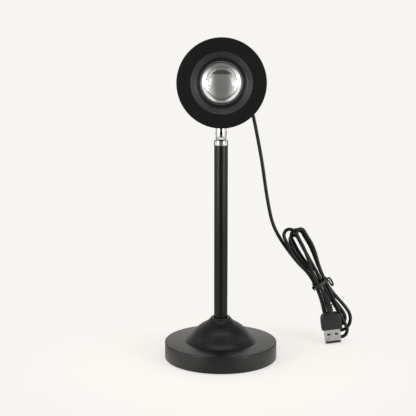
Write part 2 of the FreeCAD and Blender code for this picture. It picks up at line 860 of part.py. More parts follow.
eye_hole = pocketed(rear_cover, "cover_openings", offset=-cover_inside + S.cover_wall / 2,
                    length=S.cover_wall * 4)
circle(eye_hole, S.gland_right, gland_up, S.gland_neck_radius + S.screw_hole_gap, "gland")
circle(eye_hole, -S.gland_right + S.eye_window_radius, gland_up,
       S.eye_window_radius + S.screw_hole_gap, "window")
seats = pocketed(rear_cover, "cover_seats", offset=-cover_inside,
                 length=S.cover_seat_depth, flip=True)
circle(seats, S.gland_right, gland_up, S.gland_flange_radius + S.cover_seat_gap, "gland")
circle(seats, -S.gland_right + S.eye_window_radius, gland_up,
       S.eye_window_radius + S.eye_window_flange + S.cover_seat_gap, "window")
keep(rear_cover, "rear_cover")
in_head(rear_cover)

screw_seat = S.cover_back - S.cover_wall * 0.7
cover_screws = screws("cover_screws", S.cover_screw_radius, S.cover_screw_head,
                      (S.cover_wall * 0.7 - 0.2).value,
                      screw_seat + web_back + S.web_thickness - 0.6)
cover_spots = []
for number in range(int(S.cover_screw_count.value)):
    spot = polar(S.cover_post_ring_radius, number, S.cover_screw_count, -90.0)
    cover_spots.append((spot[0].value, screw_seat.value, head_level.value + spot[1].value))
row_of(cover_screws, cover_spots, FreeCAD.Rotation(Vector(1, 0, 0), 90.0))

eye_window = keep(turned("receiver_window", [
    (ZERO, -S.cover_back),
    (S.eye_window_radius, -S.cover_back),
    (S.eye_window_radius, -cover_inside),
    (S.eye_window_radius + S.eye_window_flange, -cover_inside),
    (S.eye_window_radius + S.eye_window_flange, -cover_inside + 0.6),
    (ZERO, -cover_inside + 0.6),
]), "receiver_window")
in_head(eye_window, -S.gland_right + S.eye_window_radius, gland_up)

control_front = web_back - S.control_spacer_height
control_board = new_body("control_board")
control_sketch = padded(control_board, "control_board_pad", S.control_board_height)
circle(control_sketch, ZERO, ZERO, S.control_board_radius, "rim")
keep(control_board, "control_board")
in_head(control_board, forward=control_front - S.control_board_height)

spacer_master = doc.addObject("Part::Cylinder", "control_spacer")
bind(spacer_master, "Radius", S.control_spacer_radius)
bind(spacer_master, "Height", S.control_spacer_height)
spacer_spots = []
for number in range(int(S.cover_screw_count.value)):
    spot = polar(S.control_spacer_ring_radius, number, S.cover_screw_count, -90.0)
    spacer_spots.append((spot[0].value, -control_front.value, head_level.value + spot[1].value))
row_of(spacer_master, spacer_spots, FreeCAD.Rotation(Vector(1, 0, 0), 90.0), "control_spacers")

receiver = doc.addObject("Part::Box", "receiver_eye")
bind(receiver, "Length", S.eye_window_radius * 1.5)
bind(receiver, "Width", S.eye_window_radius * 1.6)
receiver_depth = cover_inside - 0.6 + control_front - S.control_board_height - 0.3
bind(receiver, "Height", receiver_depth)
keep(receiver, "receiver_eye")
in_head(receiver, -S.gland_right + S.eye_window_radius * 0.25 + 2.0,
        gland_up - S.eye_window_radius * 0.8,
        control_front - S.control_board_height - receiver_depth)

control_chip = doc.addObject("Part::Box", "control_chip")
bind(control_chip, "Length", S.control_chip_length)
bind(control_chip, "Width", S.control_chip_width)
bind(control_chip, "Height", S.control_chip_height)
keep(control_chip, "control_chip")
in_head(control_chip, ZERO, S.control_chip_rise,
        control_front - S.control_board_height - S.control_chip_height)

gland_root = Size.of(-S.cover_back)
gland_tip = gland_root - S.gland_length
gland_outline = [
    (ZERO, gland_tip),
    (S.gland_tip_radius, gland_tip),
]
rib_pitch = S.gland_length * 0.8 / (S.gland_rib_count * 2)
for number in range(int(S.gland_rib_count.value) * 2):
    low = gland_tip + S.gland_length * 0.1 + rib_pitch * number
    taper = S.gland_tip_radius + (S.gland_root_radius - S.gland_tip_radius) * (
        (number + 0.5) / (S.gland_rib_count.value * 2))
    if number % 2:
        continue
    gland_outline += [
        (taper, low),
        (taper - 0.45, low),
        (taper - 0.45, low + rib_pitch),
        (taper, low + rib_pitch),
    ]
gland_outline += [
    (S.gland_root_radius, gland_root - 0.8),
    (S.gland_root_radius, gland_root),
    (S.gland_neck_radius, gland_root),
    (S.gland_neck_radius, -cover_inside + 0.1),
    (S.gland_flange_radius, -cover_inside + 0.1),
    (S.gland_flange_radius, -cover_inside + 1.0),
    (ZERO, -cover_inside + 1.0),
]
gland = keep(turned("cord_gland", gland_outline), "cord_gland")
in_head(gland, S.gland_right, gland_up)


# ---------------------------------------------------------------------------
# Cord.  The free stretch is straight runs joined by tangent arcs; the hank is one tube whose
# strands run through a waist, held by the tie, and turn round in a lobe at each end.
# ---------------------------------------------------------------------------
def side_piece(start, corner, finish):
    """One edge from start to finish, tangent to the lines through the corner."""
    middle = (start + finish) * 0.5
    half = (finish - start).Length / 2
    rise = (corner - middle).Length
    if rise < half * 1e-4:
        return Part.LineSegment(start, finish).toShape()
    bend = half * math.tan(math.atan(rise / half) / 2)
    top = middle + (corner - middle).normalize() * bend
    return Part.Arc(start, top, finish).toShape()


def rounded_route(points):
    """Edges through a route's points, each corner rounded as widely as its runs allow."""
    edges = []
    radii = []
    here = points[0]
    for before, corner, after in zip(points, points[1:], points[2:]):
        back = (before - corner).normalize()
        ahead = (after - corner).normalize()
        reach = 0.45 * min((before - corner).Length, (after - corner).Length)
        start = corner + back * reach
        finish = corner + ahead * reach
        radii.append(reach / math.tan((math.pi - back.getAngle(ahead)) / 2))
        edges.append(Part.LineSegment(here, start).toShape())
        edges.append(side_piece(start, corner, finish))
        here = finish
    edges.append(Part.LineSegment(here, points[-1]).toShape())
    return edges, radii


def tube(edges, radius):
    """A round tube along a route, with its volume held against section times length."""
    wire = Part.Wire(edges)
    first = edges[0]
    start = first.valueAt(first.FirstParameter)
    ahead = first.tangentAt(first.FirstParameter)
    ring = Part.Wire([Part.Circle(start, ahead, radius).toShape()])
    solid = wire.makePipeShell([ring], True, False)
    expected = math.pi * radius ** 2 * wire.Length
    print("tube length", round(wire.Length, 1), "volume ratio", round(solid.Volume / expected, 4))
    return solid, wire


cord_radius = S.cord_radius.value
gland_end = Vector(
    S.gland_right.value,
    (S.cover_back + S.gland_length + S.cord_gap).value,
    (head_level - S.gland_drop).value,
)
hank_origin = Vector(S.hank_right.value, S.hank_back.value, S.hank_height.value)
lean = math.radians(S.hank_lean.value)
hank_up = Vector(-math.sin(lean), 0, math.cos(lean))
hank_across = Vector(math.cos(lean), 0, math.sin(lean))
hank_front = Vector(0, -1, 0)


def in_hank(across, front, up):
    """A point of the hank from its place across, in front of and up along the hank."""
    return hank_origin + hank_across * across + hank_front * front + hank_up * up


def hank_way(across, front, up):
    return (hank_across * across + hank_front * front + hank_up * up).normalize()


entry_way = hank_way(0.19, 0.0, -0.98)
hank_entry = in_hank(-S.hank_entry_side.value, 0.0, S.hank_entry_up.value)

DROP_POINTS = [
    gland_end,
    Vector(15.5, 29.1, 189.0),
    Vector(17.6, 36.0, 186.0),
    Vector(20.9, 40.2, 180.2),
    Vector(24.0, 40.8, 171.3),
    Vector(27.7, 41.0, 153.4),
    Vector(31.1, 41.0, 135.3),
    Vector(33.7, 40.8, 117.5),
    Vector(35.9, 40.6, 104.5),
    Vector(39.2, 40.4, 91.0),
    hank_entry - entry_way * S.hank_lead.value,
    hank_entry,
]
drop_edges, drop_radii = rounded_route(DROP_POINTS)
drop_solid, drop_wire = tube(drop_edges, cord_radius)
print("cord radii", [round(radius, 1) for radius in drop_radii])
cord_drop = doc.addObject("Part::Feature", "cord_drop")
cord_drop.Shape = drop_solid
keep(cord_drop, "cord_drop")


def biarc(start, start_way, finish, finish_way):
    """Two tangent arcs from one point and direction to another."""
    gap = finish - start
    both = start_way + finish_way
    turn = 2 * (1 - start_way.dot(finish_way))
    if turn < 1e-9:
        reach = gap.dot(gap) / (2 * gap.dot(both))
    else:
        along = gap.dot(both)
        reach = (math.sqrt(along ** 2 + turn * gap.dot(gap)) - along) / turn
    first = start + start_way * reach
    second = finish - finish_way * reach
    join = (first + second) * 0.5
    return [side_piece(start, first, join), side_piece(join, second, finish)]


# plug frame: the tip's centre and the way from the tip up to the cord
plug_lean = math.radians(S.plug_lean.value)
plug_tip = Vector(S.tip_right.value, S.tip_back.value, S.tip_height.value)
plug_up = Vector(-math.sin(plug_lean), 0, math.cos(plug_lean))
plug_total = S.plug_reach + S.grip_length + S.boot_length
boot_end = plug_tip + plug_up * (plug_total.value + 0.05)

# Strand by strand: even strands run down on the left, odd ones up on the right.  Each layer is a
# flat spiral, inwards in the back layer and outwards in the next, and the last strand lies in
# front.  A strand's rank counts its half steps out from the innermost.
RANKS = [3, 2, 1, 0, 0, 1, 2, 3, 4]
LAYERS = [0, 0, 0, 0, 1, 1, 1, 1, 2]
LAST_WAIST = -2.4


def lane(strand, base, fan=0.0, sway=0.0):
    """Place of a strand across the hank: the back layer fans left, the others right."""
    side = -1 if strand % 2 == 0 else 1
    shift = -fan if LAYERS[strand] == 0 else fan
    return side * (base + RANKS[strand] * S.hank_half_step.value) + shift + sway


def depth(strand):
    return LAYERS[strand] * S.hank_layer.value


def waist(strand):
    across = LAST_WAIST if strand == len(RANKS) - 1 else lane(strand, S.hank_waist.value)
    return in_hank(across, depth(strand), 0.0)


def lobe(strand, top):
    """The two points where a strand leaves for its turn and meets it, and the turn's crown."""
    other = strand + 1
    fan = S.hank_fan.value if top else S.hank_fan.value * 1.5
    sway = -S.hank_top_sway.value if top else S.hank_bottom_sway.value
    here = lane(strand, S.hank_lobe.value, fan, sway)
    there = lane(other, S.hank_lobe.value, fan, sway)
    rank = (RANKS[strand] + RANKS[other]) / 2
    reach = (S.hank_top if top else S.hank_bottom).value + rank * S.hank_end_step.value
    half = abs(there - here) / 2
    sign = 1 if top else -1
    shoulder = sign * (reach - half * 1.2)
    crown = in_hank((here + there) / 2, (depth(strand) + depth(other)) / 2, sign * reach)
    crown_way = hank_way(there - here, depth(other) - depth(strand), 0.0)
    start = in_hank(here, depth(strand), shoulder)
    finish = in_hank(there, depth(other), shoulder)
    return start, crown, crown_way, finish


down = hank_up * -1
up = hank_up
lead_in = hank_entry + entry_way * (cord_radius * 2)
hank_edges = [Part.LineSegment(hank_entry, lead_in).toShape()]
hank_edges += biarc(lead_in, entry_way, waist(0), down)
for strand in range(len(RANKS) - 1):
    falling = strand % 2 == 0
    way = down if falling else up
    start, crown, crown_way, finish = lobe(strand, not falling)
    hank_edges += biarc(waist(strand), way, start, way)
    hank_edges += biarc(start, way, crown, crown_way)
    hank_edges += biarc(crown, crown_way, finish, way * -1)
    hank_edges += biarc(finish, way * -1, waist(strand + 1), way * -1)
lead_out = boot_end + plug_up * (cord_radius * 2)
hank_edges += biarc(waist(len(RANKS) - 1), down, lead_out, plug_up * -1)
hank_edges += [Part.LineSegment(lead_out, boot_end).toShape()]
hank_solid, hank_wire = tube(hank_edges, cord_radius)


def least_self_gap(edges, radius, step=0.7, near=9.0):
    """Least clear distance between stretches of one tube, measured on points of its route."""
    points = []
    run = 0.0
    for edge in edges:
        count = max(2, int(edge.Length / step))
        for point in edge.discretize(count)[:-1]:
            points.append((run, point))
            run += edge.Length / (count - 1)
    least = 1e9
    for index, (run, point) in enumerate(points):
        for other_run, other in points[index + 1:]:
            if other_run - run > near:
                least = min(least, point.distanceToPoint(other))
    return least - radius * 2


print("hank least self gap", round(least_self_gap(hank_edges, cord_radius), 2))
cord_hank = doc.addObject("Part::Feature", "cord_hank")
cord_hank.Shape = hank_solid
keep(cord_hank, "cord_hank")
print("cord length", round(drop_wire.Length + hank_wire.Length))

# ---------------------------------------------------------------------------
# Tie: a flat band drawn round the hank's waist, its end curled back on the right
# ---------------------------------------------------------------------------
def hull(points):
    """Corners of the smallest outline round a set of plane points, anticlockwise."""
    points = sorted(set(points))
    rows = []
    for run in (points, points[::-1]):
        row = []
        for point in run:
            while len(row) > 1 and turn_of(row[-2], row[-1], point) <= 1e-9:
                row.pop()
            row.append(point)
        rows.append(row[:-1])
    return rows[0] + rows[1]


def turn_of(first, second, third):
    ahead = (second[0] - first[0], second[1] - first[1])
    after = (third[0] - first[0], third[1] - first[1])
    return ahead[0] * after[1] - ahead[1] * after[0]


def band_wire(corners, offset):
    """An outline at a distance round the corners: straight sides and round ends."""
    edges = []
    count = len(corners)
    normals = []
    for index in range(count):
        here, after = corners[index], corners[(index + 1) % count]
        way = Vector(after[0] - here[0], after[1] - here[1], 0).normalize()
        normals.append(Vector(way.y, -way.x, 0))
    for index in range(count):
        here = Vector(corners[index][0], corners[index][1], 0)
        after = Vector(corners[(index + 1) % count][0], corners[(index + 1) % count][1], 0)
        out, next_out = normals[index], normals[(index + 1) % count]
        edges.append(Part.LineSegment(here + out * offset, after + out * offset).toShape())
        middle = (out + next_out).normalize()
        edges.append(Part.Arc(after + out * offset, after + middle * offset,
                              after + next_out * offset).toShape())
    return Part.Wire(edges)


waist_spots = [(lane(strand, S.hank_waist.value), -depth(strand))
               for strand in range(len(RANKS) - 1)]
waist_spots.append((LAST_WAIST, -depth(len(RANKS) - 1)))
tie_corners = hull([(round(x, 6), round(y, 6)) for x, y in waist_spots])
inner_offset = cord_radius + S.tie_gap.value
outer_offset = inner_offset + S.tie_thickness.value
outer_face = Part.Face(band_wire(tie_corners, outer_offset))
band_face = outer_face.cut(Part.Face(band_wire(tie_corners, inner_offset))).Faces[0]
band = band_face.extrude(Vector(0, 0, S.tie_width.value))
band.translate(Vector(0, 0, -S.tie_width.value / 2))
curl_root = Vector(max(x for x, y in tie_corners) + outer_offset - 0.3, -depth(4), 0)
curl_end = Part.Face(Part.Wire([Part.Circle(
    curl_root + Vector(0, 0, S.tie_curl_radius.value), Vector(1, 0, 0),
    S.tie_wire_radius.value).toShape()]))
curl = curl_end.revolve(curl_root, Vector(0, 1, 0), 180)
tie_shape = band.fuse(curl)
cord_tie = doc.addObject("Part::Feature", "cord_tie")
cord_tie.Shape = tie_shape
cord_tie.Placement = FreeCAD.Placement(
    hank_origin, FreeCAD.Rotation(hank_across, Vector(0, 1, 0), hank_up, "XYZ"))
keep(cord_tie, "cord_tie")

# ---------------------------------------------------------------------------
# Plug, built tip at the origin and cord end up, then leaned over
# ---------------------------------------------------------------------------
def at_plug(item):
    """Lean a piece of the plug over and put its tip down."""
    place(item, S.tip_right, S.tip_back, S.tip_height, Vector(0, 1, 0), -S.plug_lean.value)


grip_floor = S.plug_reach
grip_top = grip_floor + S.grip_length

plug_shell = new_body("plug_shell")
shell_sketch = padded(plug_shell, "plug_shell_pad", S.plug_reach + S.plug_root)
outline(shell_sketch, box_outline(
    -S.plug_width / 2, -S.plug_thickness / 2, S.plug_width / 2, S.plug_thickness / 2), "out")
outline(shell_sketch, box_outline(
    -S.plug_width / 2 + S.plug_wall, -S.plug_thickness / 2 + S.plug_wall,
    S.plug_width / 2 - S.plug_wall, S.plug_thickness / 2 - S.plug_wall), "in")
windows = pocketed(plug_shell, "plug_windows", "XZ_Plane", middle=True)
for side, word in ((-1, "left"), (1, "right")):
    middle = S.plug_window_spread * side
    outline(windows, box_outline(
        middle - S.plug_window / 2, S.plug_window_height - S.plug_window / 2,
        middle + S.plug_window / 2, S.plug_window_height + S.plug_window / 2), word)
keep(plug_shell, "plug_shell")
at_plug(plug_shell)

tongue_back = S.plug_thickness / 2 - S.plug_wall - S.tongue_gap
tongue_side = S.plug_width / 2 - S.plug_wall - S.tongue_gap
plug_tongue = new_body("plug_tongue")
tongue_sketch = padded(plug_tongue, "plug_tongue_pad", S.plug_reach + S.plug_root - 0.6)
outline(tongue_sketch, box_outline(
    -tongue_side, tongue_back - S.tongue_thickness, tongue_side, tongue_back))
bind(tongue_sketch, "AttachmentOffset.Base.z", 0.6)
keep(plug_tongue, "plug_tongue")
at_plug(plug_tongue)

contact_master = doc.addObject("Part::Box", "plug_contact")
bind(contact_master, "Length", S.contact_width)
bind(contact_master, "Width", S.contact_height)
bind(contact_master, "Height", S.plug_reach - 2.0)
doc.recompute()
plug_turn = FreeCAD.Placement(plug_tip, FreeCAD.Rotation(Vector(0, 1, 0), -S.plug_lean.value))
contacts = []
for number in range(int(S.contact_count.value)):
    across = S.contact_pitch * (number - (S.contact_count.value - 1) / 2) - S.contact_width / 2
    front = tongue_back - S.tongue_thickness - S.contact_height
    contact = contact_master.Shape.copy()
    contact.Placement = plug_turn.multiply(
        FreeCAD.Placement(Vector(across.value, front.value, 1.4), FreeCAD.Rotation()))
    contacts.append(contact)
plug_contacts = doc.addObject("Part::Feature", "plug_contacts_set")
plug_contacts.Shape = Part.makeCompound(contacts)
keep(plug_contacts, "plug_contacts")

grip_half = S.grip_width / 2
grip = new_body("plug_grip")
grip_sketch = padded(grip, "plug_grip_pad", S.grip_thickness, "XZ_Plane", middle=True)
outline(grip_sketch, [
    (-grip_half + S.grip_edge, grip_floor),
    (grip_half - S.grip_edge, grip_floor, S.grip_edge * -QUARTER_RISE),
    (grip_half, grip_floor + S.grip_edge),
    (grip_half, grip_top - S.grip_shoulder, -S.grip_shoulder * 0.3),
    (S.boot_radius + 1.2, grip_top),
    (-S.boot_radius - 1.2, grip_top, -S.grip_shoulder * 0.3),
    (-grip_half, grip_top - S.grip_shoulder),
    (-grip_half, grip_floor + S.grip_edge, S.grip_edge * -QUARTER_RISE),
])
grip_well = pocketed(grip, "plug_grip_well", offset=grip_floor + S.plug_root, flip=False)
outline(grip_well, box_outline(
    -S.plug_width / 2, -S.plug_thickness / 2, S.plug_width / 2, S.plug_thickness / 2))
keep(grip, "plug_grip")
at_plug(grip)

boot_outline = [
    (ZERO, grip_top),
    (S.boot_radius, grip_top),
]
boot_pitch = S.boot_length / (S.boot_rib_count * 2 + 1)
for number in range(int(S.boot_rib_count.value)):
    low = grip_top + boot_pitch * (number * 2 + 1)
    share = (number + 0.5) / S.boot_rib_count.value
    rib = S.boot_radius + (S.boot_tip_radius - S.boot_radius) * share
    boot_outline += [
        (rib, low),
        (rib - 0.5, low),
        (rib - 0.5, low + boot_pitch),
        (rib, low + boot_pitch),
    ]
boot_outline += [
    (S.boot_tip_radius, grip_top + S.boot_length),
    (ZERO, grip_top + S.boot_length),
]
boot = keep(turned("plug_boot", boot_outline), "plug_boot")
at_plug(boot)

# ---------------------------------------------------------------------------
# Check every object, then write each piece
# ---------------------------------------------------------------------------
doc.recompute()
for item in doc.Objects:
    if "Invalid" in item.State or "Error" in item.State:
        raise RuntimeError(item.Name + " failed to rebuild")
for item in PIECES:
    if item.Shape.isNull() or not item.Shape.isValid():
        raise RuntimeError(item.Label + " has no valid shape")

os.makedirs("parts", exist_ok=True)
for item in PIECES:
    item.Shape.exportStep("parts/" + item.Label + ".step")
print(len(PIECES), "pieces written")
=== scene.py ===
"""A sunset projection lamp: its visible pieces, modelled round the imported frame."""
import logging
import math
from collections.abc import Sequence
from dataclasses import dataclass, field
from enum import Enum

import bmesh
import bpy
from mathutils import Matrix, Vector
from mathutils.geometry import interpolate_bezier


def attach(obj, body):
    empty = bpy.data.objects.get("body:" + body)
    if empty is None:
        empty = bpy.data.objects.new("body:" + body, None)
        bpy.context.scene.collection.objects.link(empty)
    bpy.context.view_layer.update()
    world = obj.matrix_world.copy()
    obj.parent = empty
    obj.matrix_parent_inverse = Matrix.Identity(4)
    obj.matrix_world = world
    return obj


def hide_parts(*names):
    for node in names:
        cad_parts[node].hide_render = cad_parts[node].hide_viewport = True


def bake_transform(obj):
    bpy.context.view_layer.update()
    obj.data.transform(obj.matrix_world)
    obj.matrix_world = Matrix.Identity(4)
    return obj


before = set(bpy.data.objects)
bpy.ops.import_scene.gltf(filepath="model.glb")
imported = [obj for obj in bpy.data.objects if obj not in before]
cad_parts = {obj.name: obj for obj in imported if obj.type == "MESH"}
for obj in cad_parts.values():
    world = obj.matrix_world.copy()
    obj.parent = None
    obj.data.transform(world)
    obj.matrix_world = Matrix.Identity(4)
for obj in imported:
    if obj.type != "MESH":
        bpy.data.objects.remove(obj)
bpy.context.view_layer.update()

LOG = logging.getLogger("lamp")
FULL_TURN = 2.0 * math.pi

# One millimetre in the scene's metres, and the span in metres within which points merge.
MM = 0.001
MERGE_SPAN = 1e-7
# An edge that bends by more than this many degrees shows as an edge.
SHARP_ANGLE = 32.0
# The heights of the head's axis and of the hinge pin in mm.
HEAD_LEVEL = 196.0
PIN_LEVEL = 160.9

Outline = Sequence[tuple[float, ...]]


# --------------------------------------------------------------------------------------
# Small tools
# --------------------------------------------------------------------------------------
def linear(colour: str) -> tuple[float, float, float, float]:
    """Turn an sRGB hex colour into linear light.

    Args:
        colour: the colour as "#rrggbb".

    Returns:
        The linear red, green and blue, and an alpha of 1.
    """
    channels = []
    for start in (1, 3, 5):
        value = int(colour[start:start + 2], 16) / 255.0
        dark = value <= 0.04045
        channels.append(value / 12.92 if dark else ((value + 0.055) / 1.055) ** 2.4)
    return (*channels, 1.0)


def empty_tree(owner: bpy.types.Material | bpy.types.World) -> bpy.types.NodeTree:
    """Give a material or a world an empty node tree.

    Args:
        owner: the material or the world.

    Returns:
        Its node tree.
    """
    owner.use_nodes = True
    owner.node_tree.nodes.clear()
    return owner.node_tree


def add_node(tree: bpy.types.NodeTree, kind: str, settings: dict | None = None,
             links: dict | None = None) -> bpy.types.Node:
    """Add a shader node with its settings and links.

    Args:
        tree: the node tree that takes it.
        kind: the node's type.
        settings: the node's attributes, or constants of its sockets by name or number.
        links: what feeds each socket: an output, or a node for its first output.

    Returns:
        The new node.
    """
    node = tree.nodes.new(kind)
    for name, value in (settings or {}).items():
        if isinstance(name, str) and hasattr(node, name):
            setattr(node, name, value)
        else:
            node.inputs[name].default_value = value
    for name, source in (links or {}).items():
        output = source.outputs[0] if isinstance(source, bpy.types.Node) else source
        tree.links.new(output, node.inputs[name])
    return node


def linked(name: str, data: bpy.types.ID) -> bpy.types.Object:
    """Put a mesh, a curve, a camera or a light in the scene as an object.

    Args:
        name: the object's name.
        data: what it holds.

    Returns:
        The object.
    """
    made = bpy.data.objects.new(name, data)
    bpy.context.scene.collection.objects.link(made)
    return made


def new_piece(name: str, shape: bmesh.types.BMesh,
              sharp: float = SHARP_ANGLE) -> bpy.types.Object:
    """Make an object of a finished bmesh, smooth but for its sharp edges.

    Args:
        name: the piece's name.
        shape: the bmesh, in metres and in place, which is used up.
        sharp: the angle in degrees past which an edge shows as an edge.

    Returns:
        The piece, linked to the scene.
    """
    mesh = bpy.data.meshes.new(name)
    shape.to_mesh(mesh)
    shape.free()
    mesh.polygons.foreach_set("use_smooth", [True] * len(mesh.polygons))
    mesh.set_sharp_from_angle(angle=math.radians(sharp))
    return linked(name, mesh)


def bow(start: tuple, end: tuple, rise: float, steps: int) -> Outline:
    """Points of a shallow arc between two points of an outline.

    Args:
        start: the first point, which the list leaves out.
        end: the last point, which the list leaves out.
        rise: how far its middle stands to the left of the way from start to end.
        steps: how many parts the arc has.

    Returns:
        The points between the two ends.
    """
    ahead = Vector(end[:2]) - Vector(start[:2])
    aside = Vector((-ahead.y, ahead.x)).normalized()
    points = []
    for step in range(1, steps):
        share = step / steps
        lift = rise * 4.0 * share * (1.0 - share)
        points.append(tuple(Vector(start[:2]) + ahead * share + aside * lift))
    return points


def smooth_through(points: Outline, steps: int = 6) -> Outline:
    """Points of a smooth curve that passes through every point of an outline.

    Args:
        points: the points that it passes through.
        steps: how many parts it has between two of them.

    Returns:
        The curve's points, both ends among them.
    """
    flat = [Vector((*point[:2], 0.0)) for point in points]
    last = len(flat) - 1
    # A handle is a sixth of the way between a point's two neighbours, so that the curve
    # passes through the point along that way.
    handles = [(flat[min(index + 1, last)] - flat[max(index - 1, 0)]) / 6.0
               for index in range(last + 1)]
    curve = [tuple(points[0][:2])]
    for index in range(last):
        here, there = flat[index], flat[index + 1]
        part = interpolate_bezier(here, here + handles[index],
                                  there - handles[index + 1], there, steps + 1)
        curve += [(point.x, point.y) for point in part[1:]]
    return curve


class Ease(Enum):
    """What is rounded off, in the words of the bevel operator."""

    EDGES = "EDGES"
    CORNERS = "VERTICES"


def ease_off(shape: bmesh.types.BMesh, kind: Ease, parts: list, ease: float,
             steps: int) -> None:
    """Round off edges or corners of a shape.

    Args:
        shape: the shape.
        kind: whether the parts are edges or corners.
        parts: the edges or corners.
        ease: how much of each is rounded off, in mm.
        steps: how many parts the rounding has.
    """
    bmesh.ops.bevel(shape, geom=parts, offset=ease * MM, offset_type="OFFSET",
                    segments=steps, profile=0.5, affect=kind.value, material=-1)


def thicken(shape: bmesh.types.BMesh, way: Vector) -> None:
    """Give a flat shape its thickness.

    Args:
        shape: the flat shape.
        way: how far and which way its faces are pulled out, in m.
    """
    grown = bmesh.ops.extrude_face_region(shape, geom=shape.faces[:])
    moved = [item for item in grown["geom"] if isinstance(item, bmesh.types.BMVert)]
    bmesh.ops.translate(shape, vec=way, verts=moved)
    bmesh.ops.recalc_face_normals(shape, faces=shape.faces)


def make_tube(shape: bmesh.types.BMesh, ease: float, wall: float, way: Vector) -> None:
    """Make a thin tube of the flat face that has its outline.

    Args:
        shape: the one flat face.
        ease: how much of each corner is rounded off, in mm.
        wall: the tube's wall in mm.
        way: the tube's length and direction, in m.
    """
    ease_off(shape, Ease.CORNERS, shape.verts[:], ease, steps=5)
    core = shape.faces[:]
    bmesh.ops.inset_region(shape, faces=core, thickness=wall * MM, use_boundary=True,
                           use_even_offset=True)
    bmesh.ops.delete(shape, geom=core, context="FACES_ONLY")
    thicken(shape, way)


def turned(outline: Outline, seat: Matrix | None = None, steps: int = 128,
           ease_steps: int = 4) -> bmesh.types.BMesh:
    """Turn an outline round its axis, as on a lathe.

    Args:
        outline: points as (radius, height) or (radius, height, ease) in mm, in order
            round the section; an ease rounds that corner off.
        seat: where the turned shape goes, from its own frame with Z as its axis.
        steps: how many parts the full turn has.
        ease_steps: how many parts a rounded corner has.

    Returns:
        The closed shape, in metres and in place.
    """
    shape = bmesh.new()
    corners = [shape.verts.new((point[0] * MM, 0.0, point[1] * MM)) for point in outline]
    for first, second in zip(corners, corners[1:] + corners[:1]):
        if first.co.x > 0.0 or second.co.x > 0.0:
            shape.edges.new((first, second))
    for corner, point in zip(corners, outline):
        if len(point) > 2:
            ease_off(shape, Ease.CORNERS, [corner], point[2], ease_steps)
    bmesh.ops.spin(shape, geom=shape.verts[:] + shape.edges[:], cent=(0, 0, 0),
                   axis=(0, 0, 1), dvec=(0, 0, 0), angle=FULL_TURN, steps=steps,
                   use_merge=True)
    bmesh.ops.remove_doubles(shape, verts=shape.verts, dist=MERGE_SPAN)
    bmesh.ops.recalc_face_normals(shape, faces=shape.faces)
    shape.transform(seat or Matrix.Identity(4))
    return shape


def block(size: tuple, centre: tuple, ease: float = 0.0) -> bmesh.types.BMesh:
    """A block, with its edges eased where they should be.

    Args:
        size: its width, depth and height in mm.
        centre: its middle in mm.
        ease: how much of each edge is rounded off, in mm.

    Returns:
        The shape, in metres.
    """
    shape = bmesh.new()
    bmesh.ops.create_cube(shape, size=1.0)
    bmesh.ops.scale(shape, vec=Vector(size) * MM, verts=shape.verts)
    bmesh.ops.translate(shape, vec=Vector(centre) * MM, verts=shape.verts)
    if ease > 0.0:
        ease_off(shape, Ease.EDGES, shape.edges[:], ease, steps=3)
    return shape


def joined(*shapes: bmesh.types.BMesh) -> bmesh.types.BMesh:
    """Put several shapes in one bmesh.

    Args:
        shapes: the shapes, which are used up.

    Returns:
        One bmesh that holds them all.
    """
    whole = bmesh.new()
    for shape in shapes:
        step = bpy.data.meshes.new("step")
        shape.to_mesh(step)
        shape.free()
        whole.from_mesh(step)
        bpy.data.meshes.remove(step)
    return whole


def carved(piece: bpy.types.Object,
           cutters: list[bmesh.types.BMesh]) -> bpy.types.Object:
    """Cut shapes out of a piece.

    Args:
        piece: the piece that is cut.
        cutters: closed shapes, which are used up.

    Returns:
        The same piece, with its new mesh.
    """
    tools = [new_piece(piece.name + "_cutter", cutter) for cutter in cutters]
    for tool in tools:
        cut = piece.modifiers.new("cut", "BOOLEAN")
        cut.operation = "DIFFERENCE"
        cut.solver = "EXACT"
        cut.object = tool
    bpy.context.view_layer.update()
    ready = piece.evaluated_get(bpy.context.evaluated_depsgraph_get())
    mesh = bpy.data.meshes.new_from_object(ready)
    piece.modifiers.clear()
    piece.data = mesh
    mesh.name = piece.name
    shape = bmesh.new()
    shape.from_mesh(mesh)
    bmesh.ops.remove_doubles(shape, verts=shape.verts, dist=MERGE_SPAN)
    bmesh.ops.dissolve_degenerate(shape, dist=MERGE_SPAN, edges=shape.edges)
    bmesh.ops.holes_fill(shape, edges=[edge for edge in shape.edges if edge.is_boundary])
    bmesh.ops.recalc_face_normals(shape, faces=shape.faces)
    shape.to_mesh(mesh)
    shape.free()
    mesh.set_sharp_from_angle(angle=math.radians(SHARP_ANGLE))
    for tool in tools:
        bpy.data.objects.remove(tool)
    return piece


